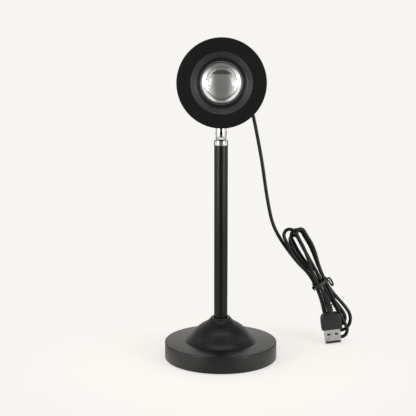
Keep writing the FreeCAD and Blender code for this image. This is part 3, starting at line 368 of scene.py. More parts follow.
def drawn(name: str, points: list[Vector], radius: float, rings: int,
          closed: bool = False) -> tuple[list[tuple], bmesh.types.BMesh]:
    """Draw a round tube along one smooth NURBS spline.

    Args:
        name: the spline's name.
        points: its control points in mm.
        radius: the tube's radius in mm.
        rings: how many parts each span has.
        closed: whether it runs back into its own start.

    Returns:
        The points of the bare spline in m, and the tube.
    """
    line = bpy.data.curves.new(name, "CURVE")
    line.dimensions = "3D"
    line.resolution_u = rings
    line.bevel_resolution = 4
    line.use_fill_caps = not closed
    spline = line.splines.new("NURBS")
    spline.points.add(len(points) - 1)
    for target, point in zip(spline.points, points):
        target.co = (*(point * MM), 1.0)
    spline.order_u = 3
    spline.use_endpoint_u = not closed
    spline.use_cyclic_u = closed
    holder = linked(name, line)
    meshes = []
    for depth in (0.0, radius * MM):
        line.bevel_depth = depth
        bpy.context.view_layer.update()
        ready = holder.evaluated_get(bpy.context.evaluated_depsgraph_get())
        meshes.append(bpy.data.meshes.new_from_object(ready))
    bpy.data.objects.remove(holder)
    shape = bmesh.new()
    shape.from_mesh(meshes[1])
    bmesh.ops.remove_doubles(shape, verts=shape.verts, dist=MERGE_SPAN)
    bmesh.ops.recalc_face_normals(shape, faces=shape.faces)
    return [tuple(vert.co) for vert in meshes[0].vertices], shape


def in_head(across: float = 0.0, up: float = 0.0) -> Matrix:
    """The seat of a shape whose own Z axis is the head's forward axis.

    Args:
        across: its place across the head in mm.
        up: its place above the head's axis in mm.

    Returns:
        The matrix from that shape's frame to the lamp's.
    """
    place = Matrix.Translation(Vector((across, 0.0, HEAD_LEVEL + up)) * MM)
    return place @ Matrix.Rotation(math.radians(90.0), 4, "X")


# --------------------------------------------------------------------------------------
# Finishes
# --------------------------------------------------------------------------------------
class Marks(Enum):
    """How a surface was made, which sets the way its fine marks run."""

    EVEN = "sprayed, cast, moulded or plated: the same in every direction"
    HEAD_TURNED = "turned: rings round the head's axis"
    BRUSHED = "drawn: long lines across the piece"


@dataclass(frozen=True)
class Finish:
    """An opaque surface: a slightly mottled colour, with fine marks in gloss and relief.

    Attributes:
        name: what the material is, and how its surface was made.
        colour: its main colour.
        tone: the second colour of its mottling.
        roughness: its mean roughness.
        wander: how far the roughness goes either way.
        mark: the size of its fine marks in mm.
        relief: their depth in mm.
        mottle: the size of its blotches in mm.
        metallic: 1 for bare metal.
        ior: the index of refraction of what is not metal.
        marks: how the fine marks run.
        specular: the level of its gloss; below 0.5 where a rough skin traps part of it.
        sheen: the weight of a dusty sheen.
        subsurface: how far light spreads in it, in mm.
    """

    name: str
    colour: str
    tone: str
    roughness: float
    wander: float = 0.05
    mark: float = 0.4
    relief: float = 0.004
    mottle: float = 14.0
    metallic: float = 0.0
    ior: float = 1.5
    marks: Marks = Marks.EVEN
    specular: float = 0.5
    sheen: float = 0.0
    subsurface: float = 0.0

    def fine_marks(self, tree: bpy.types.NodeTree,
                   place: bpy.types.NodeSocket) -> bpy.types.NodeSocket:
        """Add the texture of the fine marks.

        Args:
            tree: the material's nodes.
            place: the object coordinates.

        Returns:
            The texture's output, from 0 to 1.
        """
        scale = 1.0 / (self.mark * MM)
        if self.marks is Marks.HEAD_TURNED:
            centred = add_node(tree, "ShaderNodeMapping",
                               {"Location": (0.0, 0.0, -HEAD_LEVEL * MM)},
                               {"Vector": place})
            flat = add_node(tree, "ShaderNodeVectorMath",
                            {"operation": "MULTIPLY", 1: (1.0, 0.0, 1.0)}, {0: centred})
            radius = add_node(tree, "ShaderNodeVectorMath", {"operation": "LENGTH"},
                              {0: flat})
            lines = add_node(tree, "ShaderNodeTexNoise",
                             {"noise_dimensions": "1D", "Scale": scale, "Detail": 3.0},
                             {"W": radius.outputs["Value"]})
            return lines.outputs["Fac"]
        if self.marks is Marks.BRUSHED:
            place = add_node(tree, "ShaderNodeMapping", {"Scale": (0.06, 1.0, 1.0)},
                             {"Vector": place}).outputs["Vector"]
        grain = add_node(tree, "ShaderNodeTexNoise", {"Scale": scale, "Detail": 3.0},
                         {"Vector": place})
        return grain.outputs["Fac"]

    def material(self) -> bpy.types.Material:
        """Make the material.

        Returns:
            The material, named for what it is.
        """
        made = bpy.data.materials.new(self.name)
        tree = empty_tree(made)
        place = add_node(tree, "ShaderNodeTexCoord").outputs["Object"]
        blotches = add_node(tree, "ShaderNodeTexNoise",
                            {"Scale": 1.0 / (self.mottle * MM), "Detail": 4.0},
                            {"Vector": place})
        share = add_node(tree, "ShaderNodeMapRange", {"From Min": 0.35, "From Max": 0.65},
                         {"Value": blotches})
        colour = add_node(tree, "ShaderNodeMix",
                          {"data_type": "RGBA", 6: linear(self.colour),
                           7: linear(self.tone)},
                          {0: share})
        marks = self.fine_marks(tree, place)
        gloss = add_node(tree, "ShaderNodeMapRange",
                         {"From Min": 0.25, "From Max": 0.75,
                          "To Min": self.roughness - self.wander,
                          "To Max": self.roughness + self.wander}, {"Value": marks})
        bump = add_node(tree, "ShaderNodeBump",
                        {"Strength": 1.0, "Distance": self.relief * MM},
                        {"Height": marks})
        shader = add_node(tree, "ShaderNodeBsdfPrincipled",
                          {"Metallic": self.metallic, "IOR": self.ior,
                           "Specular IOR Level": self.specular,
                           "Sheen Weight": self.sheen,
                           "Subsurface Weight": 1.0 if self.subsurface else 0.0,
                           "Subsurface Radius": (1.0, 1.0, 1.0),
                           "Subsurface Scale": self.subsurface * MM},
                          {"Base Color": colour.outputs[2], "Roughness": gloss,
                           "Normal": bump})
        add_node(tree, "ShaderNodeOutputMaterial", links={"Surface": shader})
        return made


@dataclass(frozen=True)
class ClearGlass:
    """Clear moulded glass: a pressed lens's faint waviness bends what shows through it.

    Attributes:
        name: what the material is.
        colour: the tint of the light that passes.
        ior: its index of refraction.
        wave: the size of its waviness in mm.
        relief: the waviness's depth in mm.
    """

    name: str
    colour: str
    ior: float
    wave: float
    relief: float

    def material(self) -> bpy.types.Material:
        """Make the material.

        Returns:
            The material, named for what it is.
        """
        made = bpy.data.materials.new(self.name)
        tree = empty_tree(made)
        place = add_node(tree, "ShaderNodeTexCoord").outputs["Object"]
        wave = add_node(tree, "ShaderNodeTexNoise",
                        {"Scale": 1.0 / (self.wave * MM), "Detail": 1.0},
                        {"Vector": place})
        bump = add_node(tree, "ShaderNodeBump",
                        {"Strength": 1.0, "Distance": self.relief * MM},
                        {"Height": wave})
        shader = add_node(tree, "ShaderNodeBsdfPrincipled",
                          {"Base Color": linear(self.colour), "IOR": self.ior,
                           "Roughness": 0.0, "Transmission Weight": 1.0},
                          {"Normal": bump})
        add_node(tree, "ShaderNodeOutputMaterial", links={"Surface": shader})
        return made


# Polyester powder on steel: deep black with a soft satin gloss and the fine orange peel
# of the melted powder, drawn a little coarser than the real 0.2 mm so that it shows.
POWDER_COAT = Finish("satin powder coat", "#19191a", "#1e1e1f", roughness=0.32,
                     mark=0.45, relief=0.0035, mottle=22.0)
# Sprayed enamel on a drawn tube: smoother than powder, so its highlights are narrower.
TUBE_ENAMEL = Finish("sprayed black enamel", "#0d0d0e", "#101011", roughness=0.32,
                     wander=0.04, mark=0.6, relief=0.0012, mottle=30.0, specular=0.34)
# Bead-blasted aluminium, anodised black: flat and even, with a very fine dry grain.
BLASTED_ANODISE = Finish("blasted black anodised aluminium", "#121213", "#151515",
                         roughness=0.58, mark=0.35, relief=0.006, mottle=18.0,
                         specular=0.22)
# The housing's turned and anodised wall: the same black with a little more gloss.
TURNED_ANODISE = Finish("turned black anodised aluminium", "#131314", "#171718",
                        roughness=0.42, wander=0.06, mark=0.3, mottle=16.0,
                        marks=Marks.HEAD_TURNED, specular=0.4)
# The cone round the lens, turned and anodised dark grey: rings of tool marks catch the
# light, drawn at 0.8 mm rather than the real 0.2 mm so that they show.
RING_ANODISE = Finish("turned grey anodised aluminium", "#424244", "#4a4a4b",
                      roughness=0.40, wander=0.12, mark=0.8, relief=0.012, mottle=9.0,
                      metallic=0.45, marks=Marks.HEAD_TURNED)
# Bright nickel-chrome plate over turned brass: near mirror, with a breath of polishing
# haze.
CHROME_PLATE = Finish("polished chrome plate", "#dcdcdd", "#d2d3d5", roughness=0.06,
                      wander=0.02, mark=1.2, relief=0.0002, mottle=10.0, metallic=1.0)
# Zinc-plated steel of the fasteners: pale bluish grey with a soft dull shine.
ZINC_PLATE = Finish("bright zinc plated steel", "#b4b7ba", "#a3a6a8", roughness=0.32,
                    wander=0.08, mark=0.5, mottle=3.0, metallic=1.0)
# Nickel-plated steel strip of the plug's shell: bright, with drawn lines along it.
NICKEL_STRIP = Finish("nickel plated steel strip", "#c9c9ca", "#bdbdbf", roughness=0.26,
                      wander=0.06, mark=0.5, relief=0.002, mottle=4.0, metallic=1.0,
                      marks=Marks.BRUSHED)
# Sand-cast iron: dark grey with a coarse dry skin.
CAST_IRON = Finish("sand cast iron", "#3b3a39", "#4a4744", roughness=0.78, wander=0.08,
                   mark=0.8, relief=0.05, mottle=8.0)
# Closed-cell foam of the foot: dead matte black with fine pores.
FOOT_FOAM = Finish("closed cell foam", "#1c1c1c", "#242424", roughness=0.92, mark=0.5,
                   relief=0.05, mottle=10.0, sheen=0.2)
# Moulded ABS of the inner rings and the rear cover: fine spark-eroded texture.
MOULDED_ABS = Finish("spark textured black ABS", "#121213", "#161617", roughness=0.48,
                     wander=0.06, relief=0.006, mottle=20.0, ior=1.53, specular=0.35)
# White polypropylene of the light cup and the plug's tongue: soft, slightly see-through.
WHITE_PLASTIC = Finish("moulded white polypropylene", "#e9e9e6", "#dededb",
                       roughness=0.36, mark=0.8, relief=0.003, mottle=12.0, ior=1.49,
                       subsurface=0.6)
# White solder mask on the lamp's aluminium board: clean enamel-like gloss.
WHITE_BOARD = Finish("white solder mask", "#e4e4df", "#d8d8d2", roughness=0.35, mark=0.7,
                     relief=0.002, mottle=8.0, ior=1.55)
# Green solder mask on glass fibre: the cloth's weave shows faintly under the gloss.
GREEN_BOARD = Finish("green solder mask", "#0f4a26", "#155a30", roughness=0.34,
                     wander=0.06, mark=0.9, relief=0.006, mottle=7.0, ior=1.55)
# Silicone with phosphor over the light chip: matte egg-yolk yellow.
PHOSPHOR = Finish("phosphor silicone", "#e8c64c", "#dcb53a", roughness=0.5, mark=0.5,
                  relief=0.006, mottle=2.0, ior=1.41, subsurface=0.3)
# Moulded epoxy of the chips: matte charcoal.
CHIP_EPOXY = Finish("moulded black epoxy", "#1f1f20", "#262627", roughness=0.6,
                    wander=0.06, mark=0.3, mottle=3.0)
# Polycarbonate that only infrared passes: nearly black, with a red depth and high gloss.
INFRARED_WINDOW = Finish("infrared polycarbonate", "#1d0b10", "#240c12", roughness=0.1,
                         wander=0.03, mark=1.5, relief=0.0006, mottle=6.0, ior=1.585)
# Turned brass of the stand-offs.
TURNED_BRASS = Finish("turned brass", "#b8923f", "#a9843a", roughness=0.28, wander=0.07,
                      relief=0.003, mottle=3.0, metallic=1.0)
# Soft PVC of the cord: satin black with the faint ripple that extrusion leaves.
CORD_PVC = Finish("extruded black PVC", "#141415", "#19191a", roughness=0.40,
                  wander=0.06, mark=1.6, relief=0.010, mottle=9.0, ior=1.53,
                  specular=0.34)
# Injection-moulded PVC of the plug, the gland and the tie: matte charcoal, finely eroded.
MOULDED_PVC = Finish("spark textured black PVC", "#19191a", "#1f1f20", roughness=0.46,
                     wander=0.06, mark=0.35, relief=0.008, mottle=8.0, ior=1.53)
# Gold flash on the contacts.
GOLD_FLASH = Finish("gold flashed bronze", "#d9b45e", "#cda552", roughness=0.22,
                    relief=0.001, mottle=2.0, metallic=1.0)
# Evaporated interference coating of the colour disc and of the lens's back and shoulder:
# with the lamp off it is a grey mirror.
MIRROR_FILM = Finish("interference coated glass", "#efeff0", "#e8e9ea", roughness=0.09,
                     wander=0.03, mark=3.0, relief=0.001, mottle=7.0, metallic=1.0)
# Pressed borosilicate lens: water-clear with very slight waviness.
LENS_GLASS = ClearGlass("pressed borosilicate glass", "#fafbfb", ior=1.47, wave=9.0,
                        relief=0.001)


# --------------------------------------------------------------------------------------
# Camera, lights and floor
# --------------------------------------------------------------------------------------
@dataclass(frozen=True)
class PhotoCamera:
    """The photograph's viewpoint: a long lens above the lamp, looking slightly down.

    Attributes:
        place: the camera's place in mm.
        pitch: how far it looks down, in degrees.
        focal: its focal length in mm.
        sensor: its sensor's width in mm.
    """

    place: tuple[float, float, float] = (-9.1, -665.6, 216.5)
    pitch: float = 9.22
    focal: float = 83.08
    sensor: float = 36.0

    def build(self) -> None:
        """Make the camera and hand it to the scene."""
        lens = bpy.data.cameras.new("photo_camera")
        lens.lens = self.focal
        lens.sensor_width = self.sensor
        camera = linked("photo_camera", lens)
        camera.location = Vector(self.place) * MM
        camera.rotation_euler = (math.radians(90.0 - self.pitch), 0.0, 0.0)
        bpy.context.scene.camera = camera


@dataclass(frozen=True)
class Softbox:
    """A rectangular studio lamp aimed at the object.

    Attributes:
        name: its name.
        azimuth: degrees to the right of the camera's side.
        elevation: degrees above the floor.
        distance: its distance from the object's middle in m.
        width: its width in m.
        height: its height in m.
        brightness: the radiance of its face.
    """

    name: str
    azimuth: float
    elevation: float
    distance: float
    width: float
    height: float
    brightness: float

    def build(self, aim: Vector) -> None:
        """Make the lamp.

        Args:
            aim: the point that it faces, in m.
        """
        lamp = bpy.data.lights.new(self.name, "AREA")
        lamp.shape = "RECTANGLE"
        lamp.size = self.width
        lamp.size_y = self.height
        lamp.energy = self.brightness * math.pi * self.width * self.height
        turn, lift = math.radians(self.azimuth), math.radians(self.elevation)
        way = Vector((math.sin(turn) * math.cos(lift), -math.cos(turn) * math.cos(lift),
                      math.sin(lift)))
        box = linked(self.name, lamp)
        box.location = aim + way * self.distance
        box.rotation_euler = (-way).to_track_quat("-Z", "Y").to_euler()
        box.visible_camera = False


@dataclass(frozen=True)
class Studio:
    """Soft studio light on a seamless pale sheet.

    Attributes:
        pale: the colour of the sheet and of all that lies behind it.
        boxes: the lamps.
        aim: the point that they face, in m.
        ambient: the light that fills the shadows.
        round_room: how bright a gloss sees the room, by the degrees round from the
            camera's side.
        ceiling: how bright it sees the ceiling.
        ceiling_band: the lift over which the ceiling comes in, from 0 level to 1 up.
        floor_behind: how bright it sees the floor behind the object.
        behind_band: how far behind the middle that floor starts and is reached, in m.
        front_dark_glow: how bright it sees the painted dark patch on the floor in front.
        dark_glow_place: the middle of that patch in m.
        dark_glow_size: half its width and depth in m.
        dark_glow_blur: where it starts to fade and has faded, as shares of its size.
        floor_reach: the floor's half width in m.
        floor_gain: makes up for the light that the lamps leave out on the floor.
        shade_share: how much of the floor's colour the lamps give near the object.
        shade_near: how far from the object that share holds, in m.
        shade_far: where it has faded away, in m.
    """

    pale: str = "#f7f5f1"
    boxes: tuple[Softbox, ...] = (
        # name, azimuth, elevation, distance, width, height, brightness
        Softbox("softbox_left", -50.0, 10.0, 0.95, 0.24, 0.46, 7.0),
        Softbox("softbox_right", 50.0, 10.0, 0.95, 0.24, 0.46, 6.4),
        Softbox("side_strip_left", -94.0, 8.0, 0.9, 0.30, 0.50, 1.4),
        Softbox("side_strip_right", 94.0, 8.0, 0.9, 0.30, 0.50, 1.0),
        Softbox("overhead", 0.0, 77.0, 1.1, 1.3, 0.30, 1.1),
    )
    aim: tuple[float, float, float] = (0.0, 0.0, 0.11)
    ambient: float = 0.45
    round_room: tuple[tuple[float, float], ...] = (
        (-180.0, 1.0), (-155.0, 0.5), (-126.0, 0.35), (-98.0, 0.42), (-76.0, 0.9),
        (-60.0, 1.1), (-38.0, 1.1), (-25.0, 0.5), (-15.0, 0.22), (15.0, 0.22),
        (25.0, 0.5), (38.0, 1.1), (60.0, 1.1), (76.0, 0.86), (98.0, 0.62), (126.0, 0.48),
        (155.0, 0.55), (180.0, 1.0))
    ceiling: float = 0.22
    ceiling_band: tuple[float, float] = (0.35, 0.75)
    floor_behind: float = 0.4
    behind_band: tuple[float, float] = (0.05, 0.2)
    front_dark_glow: float = 0.05
    dark_glow_place: tuple[float, float, float] = (0.0, -0.39, 0.0)
    dark_glow_size: tuple[float, float, float] = (0.20, 0.10, 1.0)
    dark_glow_blur: tuple[float, float] = (0.8, 1.2)
    floor_reach: float = 6.0
    floor_gain: float = 1.70
    shade_share: float = 0.42
    shade_near: float = 0.045
    shade_far: float = 0.17

    def room_gloss(self, tree: bpy.types.NodeTree,
                   way: bpy.types.NodeSocket) -> bpy.types.NodeSocket:
        """Add how bright a gloss sees the room in each direction.

        Args:
            tree: the nodes that take it.
            way: the direction from the object, or a place on the floor round it.

        Returns:
            The brightness.
        """
        parts = add_node(tree, "ShaderNodeSeparateXYZ", links={"Vector": way}).outputs
        ahead = add_node(tree, "ShaderNodeMath", {"operation": "MULTIPLY", 1: -1.0},
                         {0: parts["Y"]})
        turn = add_node(tree, "ShaderNodeMath", {"operation": "ARCTAN2"},
                        {0: parts["X"], 1: ahead})
        share = add_node(tree, "ShaderNodeMapRange",
                         {"From Min": -math.pi, "From Max": math.pi}, {"Value": turn})
        ramp = add_node(tree, "ShaderNodeValToRGB", links={"Fac": share})
        stops = ramp.color_ramp.elements
        for angle, _ in self.round_room[1:-1]:
            stops.new((angle + 180.0) / 360.0)
        # The ramp holds colours up to 1, so it holds half the brightness.
        for stop, (_, value) in zip(stops, self.round_room):
            stop.color = (value * 0.5, value * 0.5, value * 0.5, 1.0)
        return add_node(tree, "ShaderNodeMath", {"operation": "MULTIPLY", 1: 2.0},
                        {0: ramp}).outputs["Value"]

    def world(self) -> None:
        """Make the room: pale behind everything, and light and dark round a gloss."""
        room = bpy.data.worlds.new("studio")
        bpy.context.scene.world = room
        tree = empty_tree(room)
        path = add_node(tree, "ShaderNodeLightPath").outputs
        way = add_node(tree, "ShaderNodeTexCoord").outputs["Generated"]
        lift = add_node(tree, "ShaderNodeSeparateXYZ", links={"Vector": way}).outputs["Z"]
        low, high = self.ceiling_band
        above = add_node(tree, "ShaderNodeMapRange",
                         {"interpolation_type": "SMOOTHSTEP", "From Min": low,
                          "From Max": high}, {"Value": lift})
        gloss = add_node(tree, "ShaderNodeMix", {"data_type": "FLOAT", 3: self.ceiling},
                         {0: above, 2: self.room_gloss(tree, way)})
        bent = add_node(tree, "ShaderNodeMath", {"operation": "MAXIMUM"},
                        {0: path["Is Glossy Ray"], 1: path["Is Transmission Ray"]})
        fill = add_node(tree, "ShaderNodeMix", {"data_type": "FLOAT", 2: self.ambient},
                        {0: bent, 3: gloss})
        strength = add_node(tree, "ShaderNodeMix", {"data_type": "FLOAT", 3: 1.0},
                            {0: path["Is Camera Ray"], 2: fill})
        back = add_node(tree, "ShaderNodeBackground", {"Color": linear(self.pale)},
                        {"Strength": strength})
        add_node(tree, "ShaderNodeOutputWorld", links={"Surface": back})

    def darken_front_glow(self, tree: bpy.types.NodeTree, place: bpy.types.NodeSocket,
                    sheen: bpy.types.Node) -> bpy.types.NodeSocket:
        """Darken what a gloss sees of the floor where the table's edge is.

        Args:
            tree: the floor's nodes.
            place: a place on the floor.
            sheen: how bright a gloss sees the floor otherwise.

        Returns:
            The brightness with the painted dark patch in it.
        """
        apart = add_node(tree, "ShaderNodeVectorMath",
                         {"operation": "SUBTRACT", 1: self.dark_glow_place}, {0: place})
        inside = add_node(tree, "ShaderNodeVectorMath",
                          {"operation": "DIVIDE", 1: self.dark_glow_size}, {0: apart})
        reach = add_node(tree, "ShaderNodeVectorMath", {"operation": "LENGTH"},
                         {0: inside})
        start, end = self.dark_glow_blur
        clear = add_node(tree, "ShaderNodeMapRange",
                         {"interpolation_type": "SMOOTHSTEP", "From Min": start,
                          "From Max": end}, {"Value": reach.outputs["Value"]})
        # Inside the patch the floor's glow for glossy rays drops: a painted dark
        # reflection.
        return add_node(tree, "ShaderNodeMix",
                        {"data_type": "FLOAT", 2: self.front_dark_glow},
                        {0: clear, 3: sheen}).outputs[0]

    def floor(self) -> None:
        """Lay the floor: its own pale colour, and the lamps' share near the object."""
        shape = bmesh.new()
        bmesh.ops.create_grid(shape, x_segments=1, y_segments=1, size=self.floor_reach)
        sheet = new_piece("floor", shape)
        made = bpy.data.materials.new("seamless paper")
        tree = empty_tree(made)
        place = add_node(tree, "ShaderNodeTexCoord").outputs["Object"]
        reach = add_node(tree, "ShaderNodeVectorMath", {"operation": "LENGTH"},
                         {0: place})
        share = add_node(tree, "ShaderNodeMapRange",
                         {"interpolation_type": "SMOOTHSTEP",
                          "From Min": self.shade_near, "From Max": self.shade_far,
                          "To Min": self.shade_share, "To Max": 0.0},
                         {"Value": reach.outputs["Value"]})
        white = tuple(part * self.floor_gain for part in linear(self.pale)[:3])
        tint = add_node(tree, "ShaderNodeMix",
                        {"data_type": "RGBA", 6: (0.0, 0.0, 0.0, 1.0), 7: (*white, 1.0)},
                        {0: share})
        lit = add_node(tree, "ShaderNodeBsdfDiffuse", links={"Color": tint.outputs[2]})
        # What glossy and transmission rays see of the floor is painted light: a glow
        # brighter at the sides, where the softboxes' light would fall, dimmer behind the
        # object and darkened in front.
        path = add_node(tree, "ShaderNodeLightPath").outputs
        bent = add_node(tree, "ShaderNodeMath", {"operation": "MAXIMUM"},
                        {0: path["Is Glossy Ray"], 1: path["Is Transmission Ray"]})
        depth = add_node(tree, "ShaderNodeSeparateXYZ",
                         links={"Vector": place}).outputs["Y"]
        start, end = self.behind_band
        most = add_node(tree, "ShaderNodeMapRange",
                        {"interpolation_type": "SMOOTHSTEP", "From Min": start,
                         "From Max": end, "To Min": 1.0, "To Max": self.floor_behind},
                        {"Value": depth})
        sheen = add_node(tree, "ShaderNodeMath", {"operation": "MINIMUM"},
                         {0: self.room_gloss(tree, place), 1: most})
        lights = add_node(tree, "ShaderNodeMath", {"operation": "MULTIPLY"},
                          {0: bent, 1: self.darken_front_glow(tree, place, sheen)})
        seen = add_node(tree, "ShaderNodeMath", {"operation": "MAXIMUM"},
                        {0: path["Is Camera Ray"], 1: lights})
        rest = add_node(tree, "ShaderNodeMath", {"operation": "SUBTRACT", 0: 1.0},
                        {1: share})
        glow = add_node(tree, "ShaderNodeMath", {"operation": "MULTIPLY"},
                        {0: rest, 1: seen})
        own = add_node(tree, "ShaderNodeEmission", {"Color": linear(self.pale)},
                       {"Strength": glow})
        both = add_node(tree, "ShaderNodeAddShader", links={0: lit, 1: own})
        add_node(tree, "ShaderNodeOutputMaterial", links={"Surface": both})
        sheet.data.materials.append(made)

    def build(self) -> None:
        """Set up the room, the floor and the lamps."""
        bpy.context.scene.view_settings.view_transform = "Standard"
        self.world()
        self.floor()
        for box in self.boxes:
            box.build(Vector(self.aim))


# --------------------------------------------------------------------------------------
# Sub-assemblies
# --------------------------------------------------------------------------------------
class Workshop:
    """Materials that are made once, and the last step of every piece."""

    def __init__(self) -> None:
        """Start with no materials."""
        self.made: dict[str, bpy.types.Material] = {}

    def material(self, finish: Finish | ClearGlass) -> bpy.types.Material:
        """Give a finish's material, made the first time it is asked for.

        Args:
            finish: the finish.

        Returns:
            Its material.
        """
        if finish.name not in self.made:
            self.made[finish.name] = finish.material()
        return self.made[finish.name]

    def settle(self, piece: bpy.types.Object, finish: Finish | ClearGlass, slot: str,
               body: str | None, *nodes: str) -> bpy.types.Object:
        """Finish a piece: its material, its body and the nodes that it stands for.

        Args:
            piece: the piece.
            finish: its finish.
            slot: not used.
            body: the body that it rides on, or None for a piece that rides on none.
            nodes: the CAD nodes that it replaces.

        Returns:
            The same piece.
        """
        piece.data.materials.clear()
        piece.data.materials.append(self.material(finish))
        if body:
            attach(piece, body)
        if nodes:
            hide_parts(*nodes)
        LOG.info("%s: %d faces, %s", piece.name, len(piece.data.polygons), finish.name)
        return piece

    def dress_nodes(self, finish: Finish | ClearGlass, *nodes: str) -> None:
        """Give CAD nodes that keep their own shape their material.

        Args:
            finish: the finish.
            nodes: the nodes' names.
        """
        for name in nodes:
            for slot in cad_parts[name].material_slots:
                slot.material = self.material(finish)
            LOG.info("%s: kept, %s", name, finish.name)


@dataclass
class WeightedBase:
    """The round foot: a shell over an iron weight, and the bell that covers the nut.

    Attributes:
        radius: the shell's radius in mm.
        floor_gap: how far its rim stands above the floor.
        top: the height of its flat top.
        wall: its wall.
        rim_ease: the rounding of its top edge.
        bore: the hole for the threaded pipe.
        bell_profile: the bell's outer profile from its foot up, as radius and height.
        bell_lip: the radius and height of its rolled lip's top edge.
        bell_bore: the radius of its opening for the pole.
        bell_hollow: its inner profile from the bore down.
    """

    radius: float = 40.0
    floor_gap: float = 0.5
    top: float = 12.4
    wall: float = 1.6
    rim_ease: float = 0.7
    bore: float = 5.2
    bell_profile: Outline = (
        (25.2, 12.7), (23.6, 14.0), (22.0, 15.6), (19.6, 18.7), (16.8, 21.8),
        (13.4, 24.4), (10.4, 26.1), (8.4, 27.6), (7.3, 29.1))
    bell_lip: tuple[float, float] = (6.75, 29.9)
    bell_bore: float = 5.15
    bell_hollow: Outline = ((5.15, 25.6), (9.0, 24.6), (15.0, 21.4), (20.0, 16.0))

    def build_shell(self) -> bpy.types.Object:
        """Turn the pressed shell, hollow below.

        Returns:
            The shell.
        """
        inside = self.radius - self.wall
        return new_piece("base_shell_finish", turned([
            (inside, self.floor_gap),
            (self.radius, self.floor_gap, 0.3),
            (self.radius, self.top, self.rim_ease),
            (self.bore, self.top),
            (self.bore, self.top - self.wall),
            (inside, self.top - self.wall, 0.6),
        ], steps=192, ease_steps=5))

    def build_bell(self) -> bpy.types.Object:
        """Turn the bell with its flared foot and rolled lip.

        Returns:
            The bell.
        """
        foot = self.bell_profile[0][0]
        lip_radius, lip_level = self.bell_lip
        return new_piece("dome_cover_finish", turned([
            (foot - self.wall, self.top),
            (foot, self.top, 0.12),
            *smooth_through(self.bell_profile),
            (lip_radius, lip_level, 0.3),
            (self.bell_bore, lip_level, 0.45),
            *self.bell_hollow,
        ], steps=160))

    def build(self, shop: Workshop) -> None:
        """Build and dress the base's pieces.

        Args:
            shop: makes the materials and settles the pieces.
        """
        coat = (POWDER_COAT, "black_powder_coat", "stand")
        shop.settle(self.build_shell(), *coat, "base_shell")
        shop.settle(self.build_bell(), *coat, "dome_cover")
        shop.dress_nodes(FOOT_FOAM, "foot_pad")
        shop.dress_nodes(CAST_IRON, "base_weight")
        shop.dress_nodes(ZINC_PLATE, "base_washer", "lock_washer", "base_nut",
                         "pole_nipple")


@dataclass
class PoleAndSwivel:
    """The pole, the chromed collar on it and the slotted stem that turns in the collar.

    Attributes:
        pole_radius: the pole's radius in mm.
        pole_bore: its bore.
        pole_foot: the height of its lower end.
        pole_top: the height of its upper end, where the collar sits.
        collar_radius: the collar's radius.
        collar_bore: its bore.
        collar_top: its top.
        collar_shoulder: the rounding of its top edge.
        collar_seam: the height of the groove where its two halves meet.
        seam_half: half the groove's width.
        seam_depth: the groove's depth.
        stem_radius: the stem's radius.
        stem_foot: the height of its lower end.
        stem_top: the height of its upper end.
        stem_ease: the rounding of its upper edge.
        slot_floor: the height of the slot's floor.
        slot_width: the slot's width.
        pin_radius: the hinge pin's radius.
        pin_reach: how far the pin's rounded ends stand out from the middle.
    """

    pole_radius: float = 4.8
    pole_bore: float = 3.8
    pole_foot: float = 12.4
    pole_top: float = 152.6
    collar_radius: float = 5.0
    collar_bore: float = 2.15
    collar_top: float = 156.6
    collar_shoulder: float = 0.95
    collar_seam: float = 155.3
    seam_half: float = 0.22
    seam_depth: float = 0.352
    stem_radius: float = 3.75
    stem_foot: float = 156.75
    stem_top: float = 164.95
    stem_ease: float = 0.7
    slot_floor: float = 156.95
    slot_width: float = 1.6
    pin_radius: float = 1.0
    pin_reach: float = 3.95

    def build_pole(self) -> bpy.types.Object:
        """Turn the pole, a plain tube with eased ends."""
        return new_piece("pole_tube_finish", turned([
            (self.pole_bore, self.pole_foot),
            (self.pole_radius, self.pole_foot, 0.15),
            (self.pole_radius, self.pole_top, 0.12),
            (self.pole_bore, self.pole_top),
        ], steps=96))

    def build_collar(self) -> bpy.types.Object:
        """Turn the collar with its seam and rounded shoulder."""
        return new_piece("swivel_collar_finish", turned([
            (self.collar_bore, self.pole_top),
            (self.collar_radius, self.pole_top, 0.12),
            (self.collar_radius, self.collar_seam - self.seam_half, 0.1),
            (self.collar_radius - self.seam_depth, self.collar_seam),
            (self.collar_radius, self.collar_seam + self.seam_half, 0.1),
            (self.collar_radius, self.collar_top, self.collar_shoulder),
            (self.collar_bore, self.collar_top),
        ], steps=96))

    def build_stem(self) -> bpy.types.Object:
        """Turn the stem, then saw its slot from the top.

        Returns:
            The stem.
        """
        stem = new_piece("swivel_stem_finish", turned([
            (0.0, self.stem_foot),
            (self.stem_radius, self.stem_foot, 0.15),
            (self.stem_radius, self.stem_top, self.stem_ease),
            (0.0, self.stem_top),
        ], steps=96))
        clear = 2.0
        height = self.stem_top - self.slot_floor + clear
        saw = block((self.slot_width, 2.0 * (self.stem_radius + clear), height),
                    (0.0, 0.0, self.slot_floor + height / 2.0))
        return carved(stem, [saw])

    def build_pin(self) -> bpy.types.Object:
        """Turn the hinge pin with its two riveted ends.

        Returns:
            The pin.
        """
        across = Matrix.Translation((0.0, 0.0, PIN_LEVEL * MM))
        across = across @ Matrix.Rotation(math.radians(90.0), 4, "Y")
        return new_piece("hinge_pin_finish", turned([
            (0.0, -self.pin_reach),
            (self.pin_radius, -self.pin_reach, 0.25),
            (self.pin_radius, self.pin_reach, 0.25),
            (0.0, self.pin_reach),
        ], across, steps=32))

    def build(self, shop: Workshop) -> None:
        """Build and dress the pole and the swivel.

        Args:
            shop: makes the materials and settles the pieces.
        """
        shop.settle(self.build_pole(), TUBE_ENAMEL, "black_satin_paint", "stand",
                    "pole_tube")
        shop.settle(self.build_collar(), CHROME_PLATE, "chrome", "stand",
                    "swivel_collar")
        shop.settle(self.build_stem(), CHROME_PLATE, "chrome", "swivel", "swivel_stem")
        shop.settle(self.build_pin(), ZINC_PLATE, "zinc_steel", "swivel", "hinge_pin")
        shop.dress_nodes(ZINC_PLATE, "swivel_keeper", "keeper_screw")


